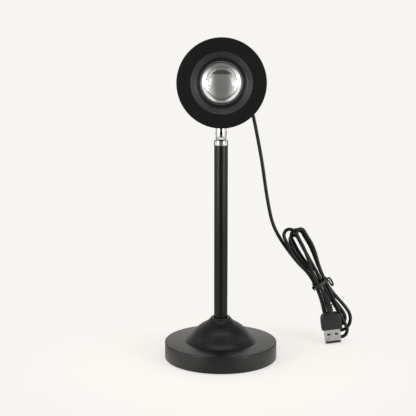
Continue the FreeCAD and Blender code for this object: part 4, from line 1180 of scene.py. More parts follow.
@dataclass
class HeadBracket:
    """The bracket under the head: a rounded tab in the stem's slot, and a plate.

    Attributes:
        tab_thickness: the tab's thickness in mm.
        tab_half: half its width, which is also the radius of its round end.
        tab_sunk: how far it runs up into the plate.
        plate_floor: the underside of the plate.
        plate_size: the plate's width, depth and thickness.
        plate_ease: the rounding of the plate's edges.
    """

    tab_thickness: float = 1.2
    tab_half: float = 3.1
    tab_sunk: float = 0.4
    plate_floor: float = 171.7
    plate_size: tuple[float, float, float] = (12.0, 11.0, 1.8)
    plate_ease: float = 0.3

    def build_tab(self) -> bmesh.types.BMesh:
        """Bend the tab's outline from its round end, and give it its thickness.

        Returns:
            The tab's shape, in metres and in place.
        """
        shape = bmesh.new()
        side = -self.tab_thickness / 2.0 * MM
        first = shape.verts.new((side, -self.tab_half * MM, PIN_LEVEL * MM))
        bmesh.ops.spin(shape, geom=[first], cent=(side, 0.0, PIN_LEVEL * MM),
                       axis=(1, 0, 0), dvec=(0, 0, 0), angle=FULL_TURN / 2.0, steps=28)
        last = max(shape.verts, key=lambda vert: vert.co.y)
        top = (self.plate_floor + self.tab_sunk) * MM
        right = shape.verts.new((side, last.co.y, top))
        left = shape.verts.new((side, first.co.y, top))
        for pair in ((last, right), (right, left), (left, first)):
            shape.edges.new(pair)
        bmesh.ops.contextual_create(shape, geom=shape.edges[:])
        thicken(shape, Vector((self.tab_thickness * MM, 0.0, 0.0)))
        return shape

    def build(self, shop: Workshop) -> None:
        """Build and dress the bracket.

        Args:
            shop: makes the materials and settles the pieces.
        """
        middle = self.plate_floor + self.plate_size[2] / 2.0
        plate = block(self.plate_size, (0.0, 0.0, middle), self.plate_ease)
        bracket = new_piece("hinge_bracket_finish", joined(self.build_tab(), plate))
        shop.settle(bracket, TUBE_ENAMEL, "black_satin_paint", "head", "hinge_bracket")
        shop.dress_nodes(ZINC_PLATE, "bracket_screws")


@dataclass
class LampFront:
    """The front of the head: the bezel, the cone inside it, the clamp ring and the lens.

    Heights are along the head's forward axis, in mm from its middle.

    Attributes:
        bezel_radius: the bezel's radius.
        bezel_back: the back of its flange.
        bezel_front: its flat face.
        bezel_edge: the rounding of its front edge.
        sleeve_radius: the sleeve behind the flange.
        sleeve_back: the back of the sleeve.
        ring_radius: the cone's outer radius.
        ring_bore: the cone's inner radius.
        ring_back: the cone's back.
        ring_sunk: how far its front edge lies behind the bezel's face.
        ring_rim: the width of the flat at its front edge.
        ring_foot: how far the cone's foot stands out from its bore, and its level.
        ring_lip: the level of the fine lip at the bore.
        clamp_bore: the radius that clamps the lens.
        clamp_radius: the clamp's outer radius.
        clamp_steps: its stepped front from the edge in, with the rounding of each.
        lens_radius: the radius of the lens's dome.
        lens_flange: the radius of its flange.
        lens_back: its flat back.
        lens_rim: the front of the flange, where the dome starts.
        lens_apex: the top of the dome.
        clear_radius: the radius of its clear part; the shoulder round it has a film.
        shoulder: the shoulder's slope at its inner and outer edge, in degrees.
        lens_parts: how many parts the dome and the shoulder each have.
    """

    bezel_radius: float = 30.3
    bezel_back: float = 17.0
    bezel_front: float = 20.0
    bezel_edge: float = 0.7
    sleeve_radius: float = 23.5
    sleeve_back: float = 12.0
    ring_radius: float = 21.0
    ring_bore: float = 17.1
    ring_back: float = 16.0
    ring_sunk: float = 0.15
    ring_rim: float = 0.45
    ring_foot: tuple[float, float] = (0.7, 17.35)
    ring_lip: float = 17.0
    clamp_bore: float = 14.6
    clamp_radius: float = 18.4
    clamp_steps: Outline = (
        (16.9, 16.0, 0.15), (16.2, 15.5, 0.1), (15.7, 15.5, 0.1), (15.2, 15.0, 0.1),
        (14.6, 15.0, 0.15))
    lens_radius: float = 14.25
    lens_flange: float = 16.6
    lens_back: float = 12.6
    lens_rim: float = 14.0
    lens_apex: float = 21.6
    clear_radius: float = 11.0
    shoulder: tuple[float, float] = (23.0, 36.0)
    lens_parts: int = 26

    def build_bezel(self) -> bpy.types.Object:
        """Turn the bezel: a flat flange on a short sleeve.

        Returns:
            The bezel.
        """
        bore = self.ring_radius + 0.1
        return new_piece("front_bezel_finish", turned([
            (bore, self.sleeve_back),
            (self.sleeve_radius, self.sleeve_back),
            (self.sleeve_radius, self.bezel_back, 0.4),
            (self.bezel_radius, self.bezel_back, 0.5),
            (self.bezel_radius, self.bezel_front, self.bezel_edge),
            (bore, self.bezel_front, 0.15),
        ], in_head(), steps=192, ease_steps=5))

    def build_ring(self) -> bpy.types.Object:
        """Turn the cone that leads in to the lens, with a fine step at each edge.

        Returns:
            The ring that has the cone.
        """
        front = self.bezel_front - self.ring_sunk
        out, level = self.ring_foot
        return new_piece("bevel_ring_finish", turned([
            (self.ring_bore, self.ring_back),
            (self.ring_radius, self.ring_back),
            (self.ring_radius, front, 0.1),
            (self.ring_radius - self.ring_rim, front, 0.12),
            (self.ring_bore + out, level, 0.2),
            (self.ring_bore, self.ring_lip, 0.15),
        ], in_head(), steps=192))

    def build_clamp(self) -> bpy.types.Object:
        """Turn the clamp ring, which steps down to the lens."""
        return new_piece("lens_clamp_finish", turned([
            (self.clamp_bore, self.lens_rim),
            (self.clamp_radius, self.lens_rim),
            (self.clamp_radius, self.ring_back),
            *self.clamp_steps,
        ], in_head(), steps=160))

    def build_lens(self) -> bpy.types.Object:
        """Turn the lens: a flat back, a flange, a gentle shoulder and a high dome.

        Returns:
            The lens, with its steep steps showing as edges.
        """
        height = self.lens_apex - self.lens_rim
        sphere = (self.lens_radius ** 2 + height ** 2) / (2.0 * height)
        span = math.asin(self.clear_radius / sphere)
        parts = self.lens_parts
        dome = []
        for part in range(parts + 1):
            lean = span * part / parts
            dome.append((sphere * math.sin(lean),
                         self.lens_apex - sphere * (1.0 - math.cos(lean))))
        step = (self.lens_radius - self.clear_radius) / parts
        inner, outer = self.shoulder
        for part in range(parts):
            slope = math.radians(inner + (outer - inner) * (part + 0.5) / parts)
            across, level = dome[-1]
            dome.append((across + step, level - step * math.tan(slope)))
        return new_piece("ball_lens_finish", turned([
            (0.0, self.lens_back),
            (self.lens_flange, self.lens_back, 0.15),
            (self.lens_flange, self.lens_rim, 0.15),
            (self.lens_radius, self.lens_rim),
            *reversed(dome),
        ], in_head(), steps=128), sharp=12.0)

    def film_lens(self, lens: bpy.types.Object, film: bpy.types.Material) -> None:
        """Give the lens's back and its shoulder their film.

        Args:
            lens: the lens.
            film: the film's material.
        """
        lens.data.materials.append(film)
        for face in lens.data.polygons:
            rim = math.hypot(face.center.x, face.center.z - HEAD_LEVEL * MM)
            behind = -face.center.y < (self.lens_rim - 0.1) * MM
            face.material_index = int(behind or rim > self.clear_radius * MM)

    def build(self, shop: Workshop) -> None:
        """Build and dress the lamp's front.

        Args:
            shop: makes the materials and settles the pieces.
        """
        shop.settle(self.build_bezel(), BLASTED_ANODISE, "black_anodised", "head",
                    "front_bezel")
        shop.settle(self.build_ring(), RING_ANODISE, "dark_anodised_ring", "head",
                    "bevel_ring")
        shop.settle(self.build_clamp(), MOULDED_ABS, "black_plastic", "head",
                    "lens_clamp")
        lens = shop.settle(self.build_lens(), LENS_GLASS, "clear_glass", "head",
                           "ball_lens")
        self.film_lens(lens, shop.material(MIRROR_FILM))
        shop.dress_nodes(MIRROR_FILM, "filter_disc")
        shop.dress_nodes(MOULDED_ABS, "lens_spacer")
        shop.dress_nodes(WHITE_PLASTIC, "light_cup")
        shop.dress_nodes(WHITE_BOARD, "lamp_board")
        shop.dress_nodes(PHOSPHOR, "lamp_chip")
        shop.dress_nodes(ZINC_PLATE, "board_screws")


@dataclass
class LampBack:
    """The back of the head: the grooved housing, the rear cover and what is on it.

    Heights are along the head's forward axis, in mm from its middle.

    Attributes:
        radius: the housing's radius in mm.
        bore: its bore at the back.
        housing_back: its back.
        housing_front: the front of its outer wall.
        spigot: its inner profile, from the wall's front round the spigot to the bore.
        slots: the middles of the two cooling grooves.
        slot_half: half a groove's width.
        slot_floor: the radius of a groove's floor.
        flat_level: the height of the flat that the bracket's plate meets.
        flat_size: the width, depth and height of what is cut away there.
        cover_back: the flat back of the cover.
        cover_edge: the rounding of its back edge.
        cover_bore: its bore.
        cover_floor: the thickness of its flat back.
        cover_gap: the gap between it and the housing.
        screw_ring: the radius of the ring of cover screws.
        screw_angles: where they stand on it, in degrees.
        screw_head: the radius of a screw's head.
        screw_sunk: how deep a head's underside lies in the cover.
        screw_levels: how far its edge and its crown stand above that.
        cross_bars: the width, length and depth of the cuts of a screw's cross.
        window_place: the receiver window across and above the head's axis.
        window_radius: its radius.
        window_sunk: how deep its recess is.
        window_thickness: the window's thickness.
        gland_place: the cord gland across and above the head's axis.
        gland_tip: the gland's free end.
        gland_radii: its radius at the cover and at its free end.
        gland_groove: the depth of the grooves between its ribs.
        gland_collar: the length of the plain collar at each of its ends.
    """

    radius: float = 23.5
    bore: float = 19.0
    housing_back: float = -8.0
    housing_front: float = 11.9
    spigot: Outline = ((20.9, 11.9), (20.9, 16.0), (18.6, 16.0), (18.6, 0.0),
                       (19.0, 0.0))
    slots: tuple[float, float] = (5.25, 8.45)
    slot_half: float = 0.75
    slot_floor: float = 21.3
    flat_level: float = 173.5
    flat_size: tuple[float, float, float] = (30.0, 13.0, 6.0)
    cover_back: float = -13.0
    cover_edge: float = 2.6
    cover_bore: float = 18.8
    cover_floor: float = 1.8
    cover_gap: float = 0.15
    screw_ring: float = 17.2
    screw_angles: tuple[float, ...] = (270.0, 30.0, 150.0)
    screw_head: float = 2.2
    screw_sunk: float = 1.26
    screw_levels: tuple[float, float] = (0.55, 1.05)
    cross_bars: Outline = ((2.3, 0.55, 1.2), (0.56, 2.31, 1.08))
    window_place: tuple[float, float] = (-12.3, -7.0)
    window_radius: float = 3.2
    window_sunk: float = 1.0
    window_thickness: float = 1.6
    gland_place: tuple[float, float] = (15.5, -7.0)
    gland_tip: float = -21.0
    gland_radii: tuple[float, float] = (3.0, 2.1)
    gland_groove: float = 0.45
    gland_collar: float = 0.8

    def build_housing(self) -> bpy.types.Object:
        """Turn the housing with its grooves and cut the flat for the bracket.

        Returns:
            The housing.
        """
        outline = [(self.bore, self.housing_back), (self.radius, self.housing_back, 0.25)]
        for middle in self.slots:
            low, high = middle - self.slot_half, middle + self.slot_half
            outline += [(self.radius, low, 0.2), (self.slot_floor, low, 0.2),
                        (self.slot_floor, high, 0.2), (self.radius, high, 0.2)]
        outline += [(self.radius, self.housing_front, 0.25), *self.spigot]
        housing = new_piece("head_housing_finish", turned(outline, in_head(), steps=160))
        middle = self.flat_level - self.flat_size[2] / 2.0
        return carved(housing, [block(self.flat_size, (0.0, 0.0, middle))])

    def sink(self, radius: float, depth: float, seat: Matrix,
             steps: int) -> bmesh.types.BMesh:
        """Turn the cutter of a round recess in the cover's back.

        Args:
            radius: the recess's radius in mm.
            depth: its depth in mm.
            seat: its seat in the head.
            steps: how many parts the full turn has.

        Returns:
            The cutter, which stands 1 mm out of the cover.
        """
        start, floor = self.cover_back - 1.0, self.cover_back + depth
        return turned([(0.0, start), (radius, start), (radius, floor), (0.0, floor)],
                      seat, steps=steps)

    def build_cover(self) -> bpy.types.Object:
        """Turn the rear cover and sink its screws and window.

        Returns:
            The cover.
        """
        back, front = self.cover_back, self.housing_back - self.cover_gap
        start = (self.radius - self.cover_edge, back)
        end = (self.radius, back + self.cover_edge)
        # A quarter circle stands this far out from the line between its ends.
        quarter = self.cover_edge * math.sqrt(0.5) * (math.sqrt(2.0) - 1.0)
        cover = new_piece("rear_cover_finish", turned([
            (0.0, back),
            start,
            *bow(start, end, -quarter, 10),
            end,
            (self.radius, front, 0.2),
            (self.cover_bore, front),
            (self.cover_bore, back + self.cover_floor),
            (0.0, back + self.cover_floor),
        ], in_head(), steps=160))
        sinks = [self.sink(self.screw_head + 0.25, self.screw_sunk,
                           self.ring_seat(angle), 44) for angle in self.screw_angles]
        sinks.append(self.sink(self.window_radius + 0.2, self.window_sunk,
                               in_head(*self.window_place), 64))
        return carved(cover, sinks)

    def ring_seat(self, angle: float) -> Matrix:
        """The seat of a cover screw at an angle round the head."""
        turn = math.radians(angle)
        return in_head(self.screw_ring * math.cos(turn), self.screw_ring * math.sin(turn))

    def build_screws(self) -> bpy.types.Object:
        """Turn a pan-head screw at each place on the cover, and cut their crosses.

        Returns:
            The screws, as one piece.
        """
        seat = self.cover_back + self.screw_sunk
        edge, top = self.screw_levels
        head = [(0.0, seat), (self.screw_head, seat, 0.1),
                (self.screw_head, seat - edge, 0.3)]
        crown = (0.0, seat - top)
        head += [*bow(head[-1], crown, 0.12, 5), crown]
        first_turn, next_turn = 20.0, 37.0
        shapes = []
        crosses = []
        for number, angle in enumerate(self.screw_angles):
            turn = math.radians(first_turn + next_turn * number)
            place = self.ring_seat(angle) @ Matrix.Rotation(turn, 4, "Z")
            shapes.append(turned(head, place, steps=40))
            for size in self.cross_bars:
                bar = block(size, (0.0, 0.0, seat - 1.2))
                bar.transform(place)
                crosses.append(bar)
        return carved(new_piece("cover_screws_finish", joined(*shapes)), crosses)

    def build_window(self) -> bpy.types.Object:
        """Turn the receiver's window, very slightly domed.

        Returns:
            The window.
        """
        back = self.cover_back
        seat = back + self.window_thickness
        rim = (self.window_radius, back + 0.35, 0.15)
        return new_piece("receiver_window_finish", turned([
            (0.0, seat),
            (self.window_radius, seat),
            rim,
            *bow(rim, (0.0, back), 0.14, 6),
            (0.0, back),
        ], in_head(*self.window_place), steps=64))

    def build_gland(self) -> bpy.types.Object:
        """Turn the cord's tapered gland with its three ribs.

        Returns:
            The gland.
        """
        root, tip = self.cover_back - 0.02, self.gland_tip
        thick, thin = self.gland_radii
        start = root - self.gland_collar
        pitch = (root - tip - 2.0 * self.gland_collar) / 6.0
        outline = [(0.0, root), (thick, root, 0.15), (thick, start, 0.2)]
        # Where a neck starts and ends and where the rib behind it ends, in pitches.
        neck_start, neck_end, rib_end = 0.15, 0.85, 1.95
        for number in range(3):
            high = start - pitch * (2 * number)
            rib = thick + (thin - thick) * (2 * number + 1) / 6.0
            neck = rib - self.gland_groove
            outline += [(neck, high - pitch * neck_start, 0.12),
                        (neck, high - pitch * neck_end, 0.12),
                        (rib, high - pitch, 0.15),
                        (rib - 0.12, high - pitch * rib_end, 0.15)]
        outline += [(thin, tip, 0.3), (0.0, tip)]
        return new_piece("cord_gland_finish",
                         turned(outline, in_head(*self.gland_place), steps=48))

    def build(self, shop: Workshop) -> None:
        """Build and dress the back of the head.

        Args:
            shop: makes the materials and settles the pieces.
        """
        shop.settle(self.build_housing(), TURNED_ANODISE, "black_anodised", "head",
                    "head_housing")
        shop.settle(self.build_cover(), MOULDED_ABS, "black_plastic", "head",
                    "rear_cover")
        shop.settle(self.build_screws(), ZINC_PLATE, "zinc_steel", "head",
                    "cover_screws")
        shop.settle(self.build_window(), INFRARED_WINDOW, "window_dark", "head",
                    "receiver_window")
        shop.settle(self.build_gland(), MOULDED_PVC, "plug_black", "head", "cord_gland")
        shop.dress_nodes(CHIP_EPOXY, "receiver_eye", "control_chip")
        shop.dress_nodes(GREEN_BOARD, "control_board")
        shop.dress_nodes(TURNED_BRASS, "control_spacers")


@dataclass
class PlugEnd:
    """The cord's plug: a steel shell, its tongue, a moulded grip and a ribbed boot.

    Its own frame has the shell's mouth at its origin and the cord's end up.

    Attributes:
        tip: the place of the mouth's middle in mm.
        lean: how far the plug leans to the left, in degrees.
        shell_size: the shell's width and depth.
        shell_corner: the rounding of its long corners.
        shell_root: where it enters the grip.
        shell_hidden: how far it runs on inside the grip.
        shell_wall: its wall.
        window: a window's width and height.
        window_spread: the windows' distance from the middle.
        window_height: their height above the mouth.
        mouth: the width, height and level of a painted shade slit behind the mouth's lip.
        cut: how deep the windows and the slit are cut.
        shade_liner_gaps: the dark sheet's gaps to the shell's sides, front and mouth.
        shade_liner_thickness: the dark sheet's thickness.
        grip_size: the grip's width and depth.
        grip_top: the top of the grip.
        grip_shoulder: the rounding of its two shoulders.
        grip_edge: the rounding of its other edges.
        boot_top: the top of the boot.
        boot_radii: the boot's radius at its foot and at its top.
        boot_groove: the depth of the grooves between its ribs.
    """

    tip: tuple[float, float, float] = (85.1, 31.0, 1.05)
    lean: float = 7.0
    shell_size: tuple[float, float] = (12.0, 4.5)
    shell_corner: float = 0.7
    shell_root: float = 10.6
    shell_hidden: float = 1.5
    shell_wall: float = 0.35
    window: tuple[float, float] = (2.4, 1.5)
    window_spread: float = 2.9
    window_height: float = 7.1
    mouth: tuple[float, float, float] = (10.6, 1.6, 1.2)
    cut: float = 0.8
    shade_liner_gaps: tuple[float, float, float] = (0.7, 0.12, 0.4)
    shade_liner_thickness: float = 0.2
    grip_size: tuple[float, float] = (15.4, 7.6)
    grip_top: float = 23.2
    grip_shoulder: float = 4.6
    grip_edge: float = 1.1
    boot_top: float = 29.4
    boot_radii: tuple[float, float] = (2.7, 2.2)
    boot_groove: float = 0.8

    def seat(self) -> Matrix:
        """The matrix from the plug's own frame to the lamp's."""
        place = Matrix.Translation(Vector(self.tip) * MM)
        return place @ Matrix.Rotation(math.radians(-self.lean), 4, "Y")

    def up(self) -> Vector:
        """The way from the plug to its cord."""
        return (self.seat().to_3x3() @ Vector((0.0, 0.0, 1.0))).normalized()

    def cord_end(self) -> Vector:
        """Where the cord's end meets the boot, in mm."""
        return Vector(self.tip) + self.up() * (self.boot_top + 0.05)

    def build_shell(self) -> bpy.types.Object:
        """Fold the shell: a rounded tube of thin strip with two windows in its front.

        Returns:
            The shell.
        """
        shape = bmesh.new()
        bmesh.ops.create_grid(shape, x_segments=1, y_segments=1, size=0.5)
        size = Vector((*self.shell_size, 1.0)) * MM
        bmesh.ops.scale(shape, vec=size, verts=shape.verts)
        length = (self.shell_root + self.shell_hidden) * MM
        make_tube(shape, self.shell_corner, self.shell_wall, Vector((0.0, 0.0, length)))
        shape.transform(self.seat())
        shell = new_piece("plug_shell_finish", shape)
        front = -self.shell_size[1] / 2.0
        # The slit behind the mouth's lip shows the dark sheet behind it as a painted
        # shade line.
        wide, high, level = self.mouth
        cuts = [block((wide, self.cut, high), (0.0, front, level))]
        wide, high = self.window
        for across in (-self.window_spread, self.window_spread):
            cuts.append(block((wide, self.cut, high),
                              (across, front, self.window_height)))
        for cutter in cuts:
            cutter.transform(self.seat())
        return carved(shell, cuts)

    def build_shade_liner(self) -> bpy.types.Object:
        """Make the thin dark sheet of painted shade that shows through the shell's
        openings.

        Returns:
            The dark sheet.
        """
        width, depth = self.shell_size
        side, behind, start = self.shade_liner_gaps
        shape = block((width - 2.0 * side, self.shade_liner_thickness, self.shell_root - start),
                      (0.0, self.shell_wall + behind - depth / 2.0,
                       (self.shell_root + start) / 2.0))
        shape.transform(self.seat())
        return new_piece("plug_shade_liner_finish", shape)

    def build_grip(self) -> bpy.types.Object:
        """Mould the grip: round shoulders and soft edges.

        Returns:
            The grip.
        """
        width, depth = self.grip_size
        height = self.grip_top - self.shell_root
        shape = block((width, depth, height), (0.0, 0.0, self.shell_root + height / 2.0))
        near_top = (self.grip_top - 0.1) * MM
        shoulders = [edge for edge in shape.edges
                     if all(vert.co.z > near_top for vert in edge.verts)
                     and abs(edge.verts[0].co.x - edge.verts[1].co.x) < 1e-6]
        ease_off(shape, Ease.EDGES, shoulders, self.grip_shoulder, steps=10)
        rims = [edge for edge in shape.edges if len(edge.link_faces) == 2
                and edge.calc_face_angle() > math.radians(40.0)]
        ease_off(shape, Ease.EDGES, rims, self.grip_edge, steps=4)
        bmesh.ops.recalc_face_normals(shape, faces=shape.faces)
        shape.transform(self.seat())
        return new_piece("plug_grip_finish", shape)

    def build_boot(self) -> bpy.types.Object:
        """Turn the boot with its three ribs.

        Returns:
            The boot.
        """
        wide, narrow = self.boot_radii
        low = self.grip_top - 0.3
        pitch = (self.boot_top - low) / 7.0
        outline = [(0.0, low), (wide, low)]
        ease = 0.12
        for number in range(3):
            foot = low + pitch * (2 * number + 1)
            rib = wide + (narrow - wide) * (2 * number + 1) / 6.0
            neck = rib - self.boot_groove
            outline += [(rib, foot, ease), (neck, foot + ease, ease),
                        (neck, foot + pitch - ease, ease),
                        (rib - ease / 2.0, foot + pitch, ease)]
        outline += [(narrow, self.boot_top, 0.25), (0.0, self.boot_top)]
        return new_piece("plug_boot_finish", turned(outline, self.seat(), steps=40))

    def build(self, shop: Workshop) -> list[bpy.types.Object]:
        """Build and dress the plug.

        Args:
            shop: makes the materials and settles the pieces.

        Returns:
            The pieces on the cord's end.
        """
        moulded = (MOULDED_PVC, "plug_black", "swivel")
        shell = shop.settle(self.build_shell(), NICKEL_STRIP, "plug_steel", "swivel",
                            "plug_shell")
        grip = shop.settle(self.build_grip(), *moulded, "plug_grip")
        boot = shop.settle(self.build_boot(), *moulded, "plug_boot")
        # A dark sheet behind the slit and the windows: painted shade inside the shell.
        shade_liner = shop.settle(self.build_shade_liner(), *moulded)
        shop.dress_nodes(WHITE_PLASTIC, "plug_tongue")
        shop.dress_nodes(GOLD_FLASH, "plug_contacts")
        return [shell, shade_liner, grip, boot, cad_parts["plug_tongue"],
                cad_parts["plug_contacts"]]


@dataclass
class LampCord:
    """The cord: its drop from the gland, the tied hank and its end at the plug.

    A strand is one run of the hank between two turns; the first comes down from the head,
    and the last goes down to the plug. Places on the hank are across it, in front of its
    back layer and up it, in mm from the middle of its waist.

    Attributes:
        radius: the cord's radius in mm.
        drop: the route from the gland down to the hank.
        settled: a point by the drop; not used.
        origin: the middle of the hank's waist.
        lean: how far the hank leans to the left, in degrees.
        layers: the layer that each strand lies in, from the back.
        bottom_layers: the same in the lower loops, where one slips behind its neighbour.
        layer_step: the distance between two layers.
        waist_lanes: where each strand passes the tie.
        top_lanes: where each strand lies across the loose upper loops.
        bottom_lanes: where each strand lies across the loose lower loops.
        top_reaches: how high the upper turns reach, in the order of the cord.
        bottom_reaches: how deep the lower turns reach, in the order of the cord.
        near: the height at which a strand leaves the tie's straight stretch.
        wide: the height at which it reaches its lane in the loops.
        last_up: the height at which the last strand leaves the hank for the plug.
        plug_run: the straight length in front of the plug.
        right_bow: how many times further out the upper right-hand strands lie there.
        least_span: the shortest stretch of lane that has a point of its own.
        turn_drop: how far a turn's shoulders lie below it, as a share of half its width.
        turn_corner: how far in its corners lie, as a share of half its width.
        turn_climb: how much of the way to the next layer it has made at its first corner.
        rings: how many parts each span of the route is drawn with.
        path: the points of the drawn path in m, once it is built.
    """

    radius: float = 1.3
    drop: Outline = (
        (15.5, 21.2, 189.0), (15.5, 29.1, 189.0), (17.6, 36.0, 186.0),
        (20.9, 40.2, 180.2), (24.0, 40.8, 171.3), (27.7, 41.0, 153.4),
        (31.1, 41.0, 135.3), (33.6, 40.8, 117.5), (35.8, 40.6, 104.5), (38.7, 40.4, 91.0),
        (43.7, 40.4, 80.4), (50.8, 40.4, 70.0), (58.9, 40.4, 59.6))
    settled: tuple[float, float, float] = (39.2, 40.4, 91.0)
    origin: tuple[float, float, float] = (75.3, 40.4, 45.4)
    lean: float = 27.5
    layers: tuple[float, ...] = (0, 0, 0, 0, 1, 1, 1, 1, 2)
    bottom_layers: tuple[float, ...] = (0, 0, 0, 0, 0.9, 0.15, 1, 1.05, 2)
    layer_step: float = 3.4
    waist_lanes: tuple[float, ...] = (
        -4.1, 4.0, -1.3, 1.35, -1.35, 1.3, -4.0, 4.0, -2.0)
    top_lanes: tuple[float, ...] = (-9.3, 5.3, -3.9, 0.5, -5.9, 0.6, -8.5, 6.9, 0.9)
    bottom_lanes: tuple[float, ...] = (-8.8, 9.0, -5.2, 5.2, -4.9, 2.3, -8.2, 2.5, 0.0)
    top_reaches: tuple[float, ...] = (44.3, 41.6, 47.8, 44.4)
    bottom_reaches: tuple[float, ...] = (41.5, 37.0, 35.0, 45.0)
    near: float = 9.0
    wide: float = 27.0
    last_up: float = -0.5
    plug_run: float = 4.5
    right_bow: float = 1.16
    least_span: float = 3.0
    turn_drop: float = 0.7
    turn_corner: float = 0.586
    turn_climb: float = 0.29
    rings: int = 10
    path: list[tuple] = field(default_factory=list, init=False)

    def hank_point(self, across: float, front: float, up: float) -> Vector:
        """A point of the hank in mm, from its place across, in front of and up it."""
        return Vector(self.origin) + self.hank_way(across, front, up)

    def hank_way(self, across: float, front: float, up: float) -> Vector:
        """A way in the hank's own directions.

        Args:
            across: how far it goes to the right across the hank.
            front: how far it goes to the front.
            up: how far it goes up the hank.

        Returns:
            The way in the lamp's frame.
        """
        lean = math.radians(self.lean)
        right = Vector((math.cos(lean), 0.0, math.sin(lean)))
        upward = Vector((-math.sin(lean), 0.0, math.cos(lean)))
        return right * across + Vector((0.0, -1.0, 0.0)) * front + upward * up

    def strand_points(self, strand: int) -> list[Vector]:
        """The points of a strand's run between its turns, in the order of the cord.

        Args:
            strand: the strand's number.

        Returns:
            Its points: a wide end, the straight stretch through the tie, and a wide end.
        """
        front = self.layers[strand] * self.layer_step
        waist = self.waist_lanes[strand]
        lane = self.top_lanes[strand]
        points = [
            self.hank_point(max(lane, lane * self.right_bow), front, self.wide),
            self.hank_point(waist, front, self.near),
            self.hank_point(waist, front, -self.near),
            self.hank_point(self.bottom_lanes[strand],
                            self.bottom_layers[strand] * self.layer_step, -self.wide),
        ]
        if strand % 2:
            points.reverse()
        if strand == 0:
            points.pop(0)
        if strand == len(self.layers) - 1:
            points[2:] = [self.hank_point(waist, front, self.last_up)]
        return points

    def turn_points(self, strand: int) -> list[Vector]:
        """The points of the turn from a strand to the next, and its climb between layers.

        Args:
            strand: the strand before the turn.

        Returns:
            Four points round the turn, and one on each straight side of a long one.
        """
        top = strand % 2 == 1
        lanes = self.top_lanes if top else self.bottom_lanes
        layers = self.layers if top else self.bottom_layers
        reach = (self.top_reaches if top else self.bottom_reaches)[strand // 2]
        here, there = lanes[strand], lanes[strand + 1]
        low, high = (layers[number] * self.layer_step for number in (strand, strand + 1))
        half = abs(there - here) / 2.0
        shoulder = reach - half * self.turn_drop
        corner = self.turn_corner * (there - here) / 2.0
        places = [(here, shoulder, 0.0), (here + corner, reach, self.turn_climb),
                  (there - corner, reach, 1.0 - self.turn_climb), (there, shoulder, 1.0)]
        if shoulder - half > self.wide + self.least_span:
            places = [(here, shoulder - half, 0.0), *places,
                      (there, shoulder - half, 1.0)]
        sign = 1.0 if top else -1.0
        return [self.hank_point(across, low + (high - low) * share, sign * up)
                for across, up, share in places]

    def route(self, plug: PlugEnd) -> list[Vector]:
        """All control points of the cord, from the gland to the plug, in mm.

        Args:
            plug: the plug that the cord ends in.

        Returns:
            The points.
        """
        points = [Vector(point) for point in self.drop]
        for strand in range(len(self.layers)):
            points += self.strand_points(strand)
            if strand < len(self.layers) - 1:
                points += self.turn_points(strand)
        end = plug.cord_end()
        return [*points, end + plug.up() * self.plug_run, end]

    def build(self, shop: Workshop, plug: PlugEnd) -> bpy.types.Object:
        """Draw the cord on one smooth spline.

        Args:
            shop: makes the materials and settles the pieces.
            plug: the plug that the cord ends in.

        Returns:
            The cord, whose path is kept on self.path.
        """
        self.path, shape = drawn("cord_line", self.route(plug), self.radius, self.rings)
        cord = new_piece("power_cord", shape, sharp=60.0)
        shop.settle(cord, CORD_PVC, "cord_pvc", None, "cord_drop", "cord_hank")
        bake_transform(cord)
        return cord

    def length(self) -> float:
        """The length of the drawn path in m."""
        return sum((Vector(after) - Vector(before)).length
                   for before, after in zip(self.path, self.path[1:]))

    def declare(self, pieces: list[bpy.types.Object]) -> None:
        """Log the drawn cord's length and its number of points.

        Args:
            pieces: not used.
        """
        LOG.info("cord: %.0f mm on %d points", self.length() / MM, len(self.path))


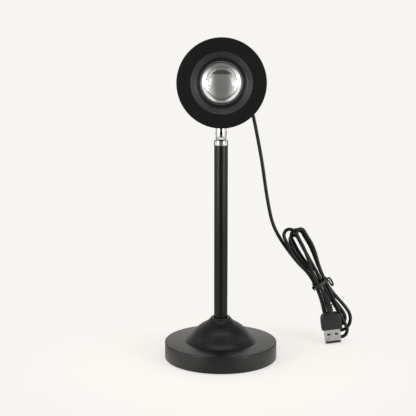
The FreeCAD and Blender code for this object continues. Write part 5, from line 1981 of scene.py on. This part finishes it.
@dataclass
class HankTie:
    """The tie round the hank's waist: a flat band and the loop of its twisted end.

    Attributes:
        cord: the cord that it holds.
        corners: its outline round the strands, as places across and in front.
        round_off: how much of each corner is rounded off.
        thickness: the band's thickness.
        width: the band's width.
        wire: the radius of the twisted end.
        wire_rings: how many parts each span of the twisted end is drawn with.
        loop: the loop of the twisted end, as places across, in front and up.
        stub: the short end on the other side.
    """

    cord: LampCord
    corners: Outline = ((-6.1, -2.1), (-6.1, 4.9), (-3.2, 9.0), (-0.6, 9.0), (6.1, 4.9),
                        (6.1, -2.1))
    round_off: float = 1.2
    thickness: float = 0.7
    width: float = 2.5
    wire: float = 0.7
    wire_rings: int = 6
    loop: Outline = (
        (5.4, 4.6, 0.6), (7.2, 4.8, 1.4), (8.3, 4.9, -0.6), (8.2, 4.9, -4.4),
        (7.2, 4.8, -5.9), (6.5, 4.7, -4.2), (6.5, 4.6, -1.4))
    stub: Outline = (
        (-5.0, 4.4, 0.2), (-6.3, 4.8, 0.5), (-6.9, 4.9, -0.9), (-6.0, 4.9, -2.6))

    def build_band(self) -> bmesh.types.BMesh:
        """Stretch the band round the strands.

        Returns:
            The band's shape, in metres and in place.
        """
        shape = bmesh.new()
        shape.faces.new([shape.verts.new(self.cord.hank_way(across, front, 0.0) * MM)
                         for across, front in self.corners])
        up = self.cord.hank_way(0.0, 0.0, self.width) * MM
        make_tube(shape, self.round_off, self.thickness, up)
        bmesh.ops.translate(shape, vec=Vector(self.cord.origin) * MM - up / 2.0,
                            verts=shape.verts)
        return shape

    def build_wire(self, name: str, places: Outline, closed: bool) -> bmesh.types.BMesh:
        """Draw a part of the twisted end.

        Args:
            name: its name.
            places: its control points across, in front of and up the hank.
            closed: whether it is a loop.

        Returns:
            Its shape, in metres and in place.
        """
        points = [self.cord.hank_point(*place) for place in places]
        return drawn(name, points, self.wire, self.wire_rings, closed)[1]

    def build(self, shop: Workshop) -> bpy.types.Object:
        """Build and dress the tie.

        Args:
            shop: makes the materials and settles the pieces.

        Returns:
            The tie, which is a piece on the cord.
        """
        loop = self.build_wire("tie_loop", self.loop, closed=True)
        stub = self.build_wire("tie_stub", self.stub, closed=False)
        tie = new_piece("cord_tie_finish", joined(self.build_band(), loop, stub))
        return shop.settle(tie, MOULDED_PVC, "black_plastic", "swivel", "cord_tie")


def main() -> None:
    """Build the camera and the cord, then every sub-assembly, then the studio."""
    logging.basicConfig(level=logging.INFO, format="%(name)s: %(message)s")
    shop = Workshop()
    PhotoCamera().build()
    plug = PlugEnd()
    lamp_cord = LampCord()
    cord = lamp_cord.build(shop, plug)
    on_cord = plug.build(shop)
    for assembly in (WeightedBase(), PoleAndSwivel(), HeadBracket(), LampFront(),
                     LampBack()):
        assembly.build(shop)
    lamp_cord.declare([*on_cord, HankTie(lamp_cord).build(shop)])
    Studio().build()


if __name__ == "__main__":
    main()
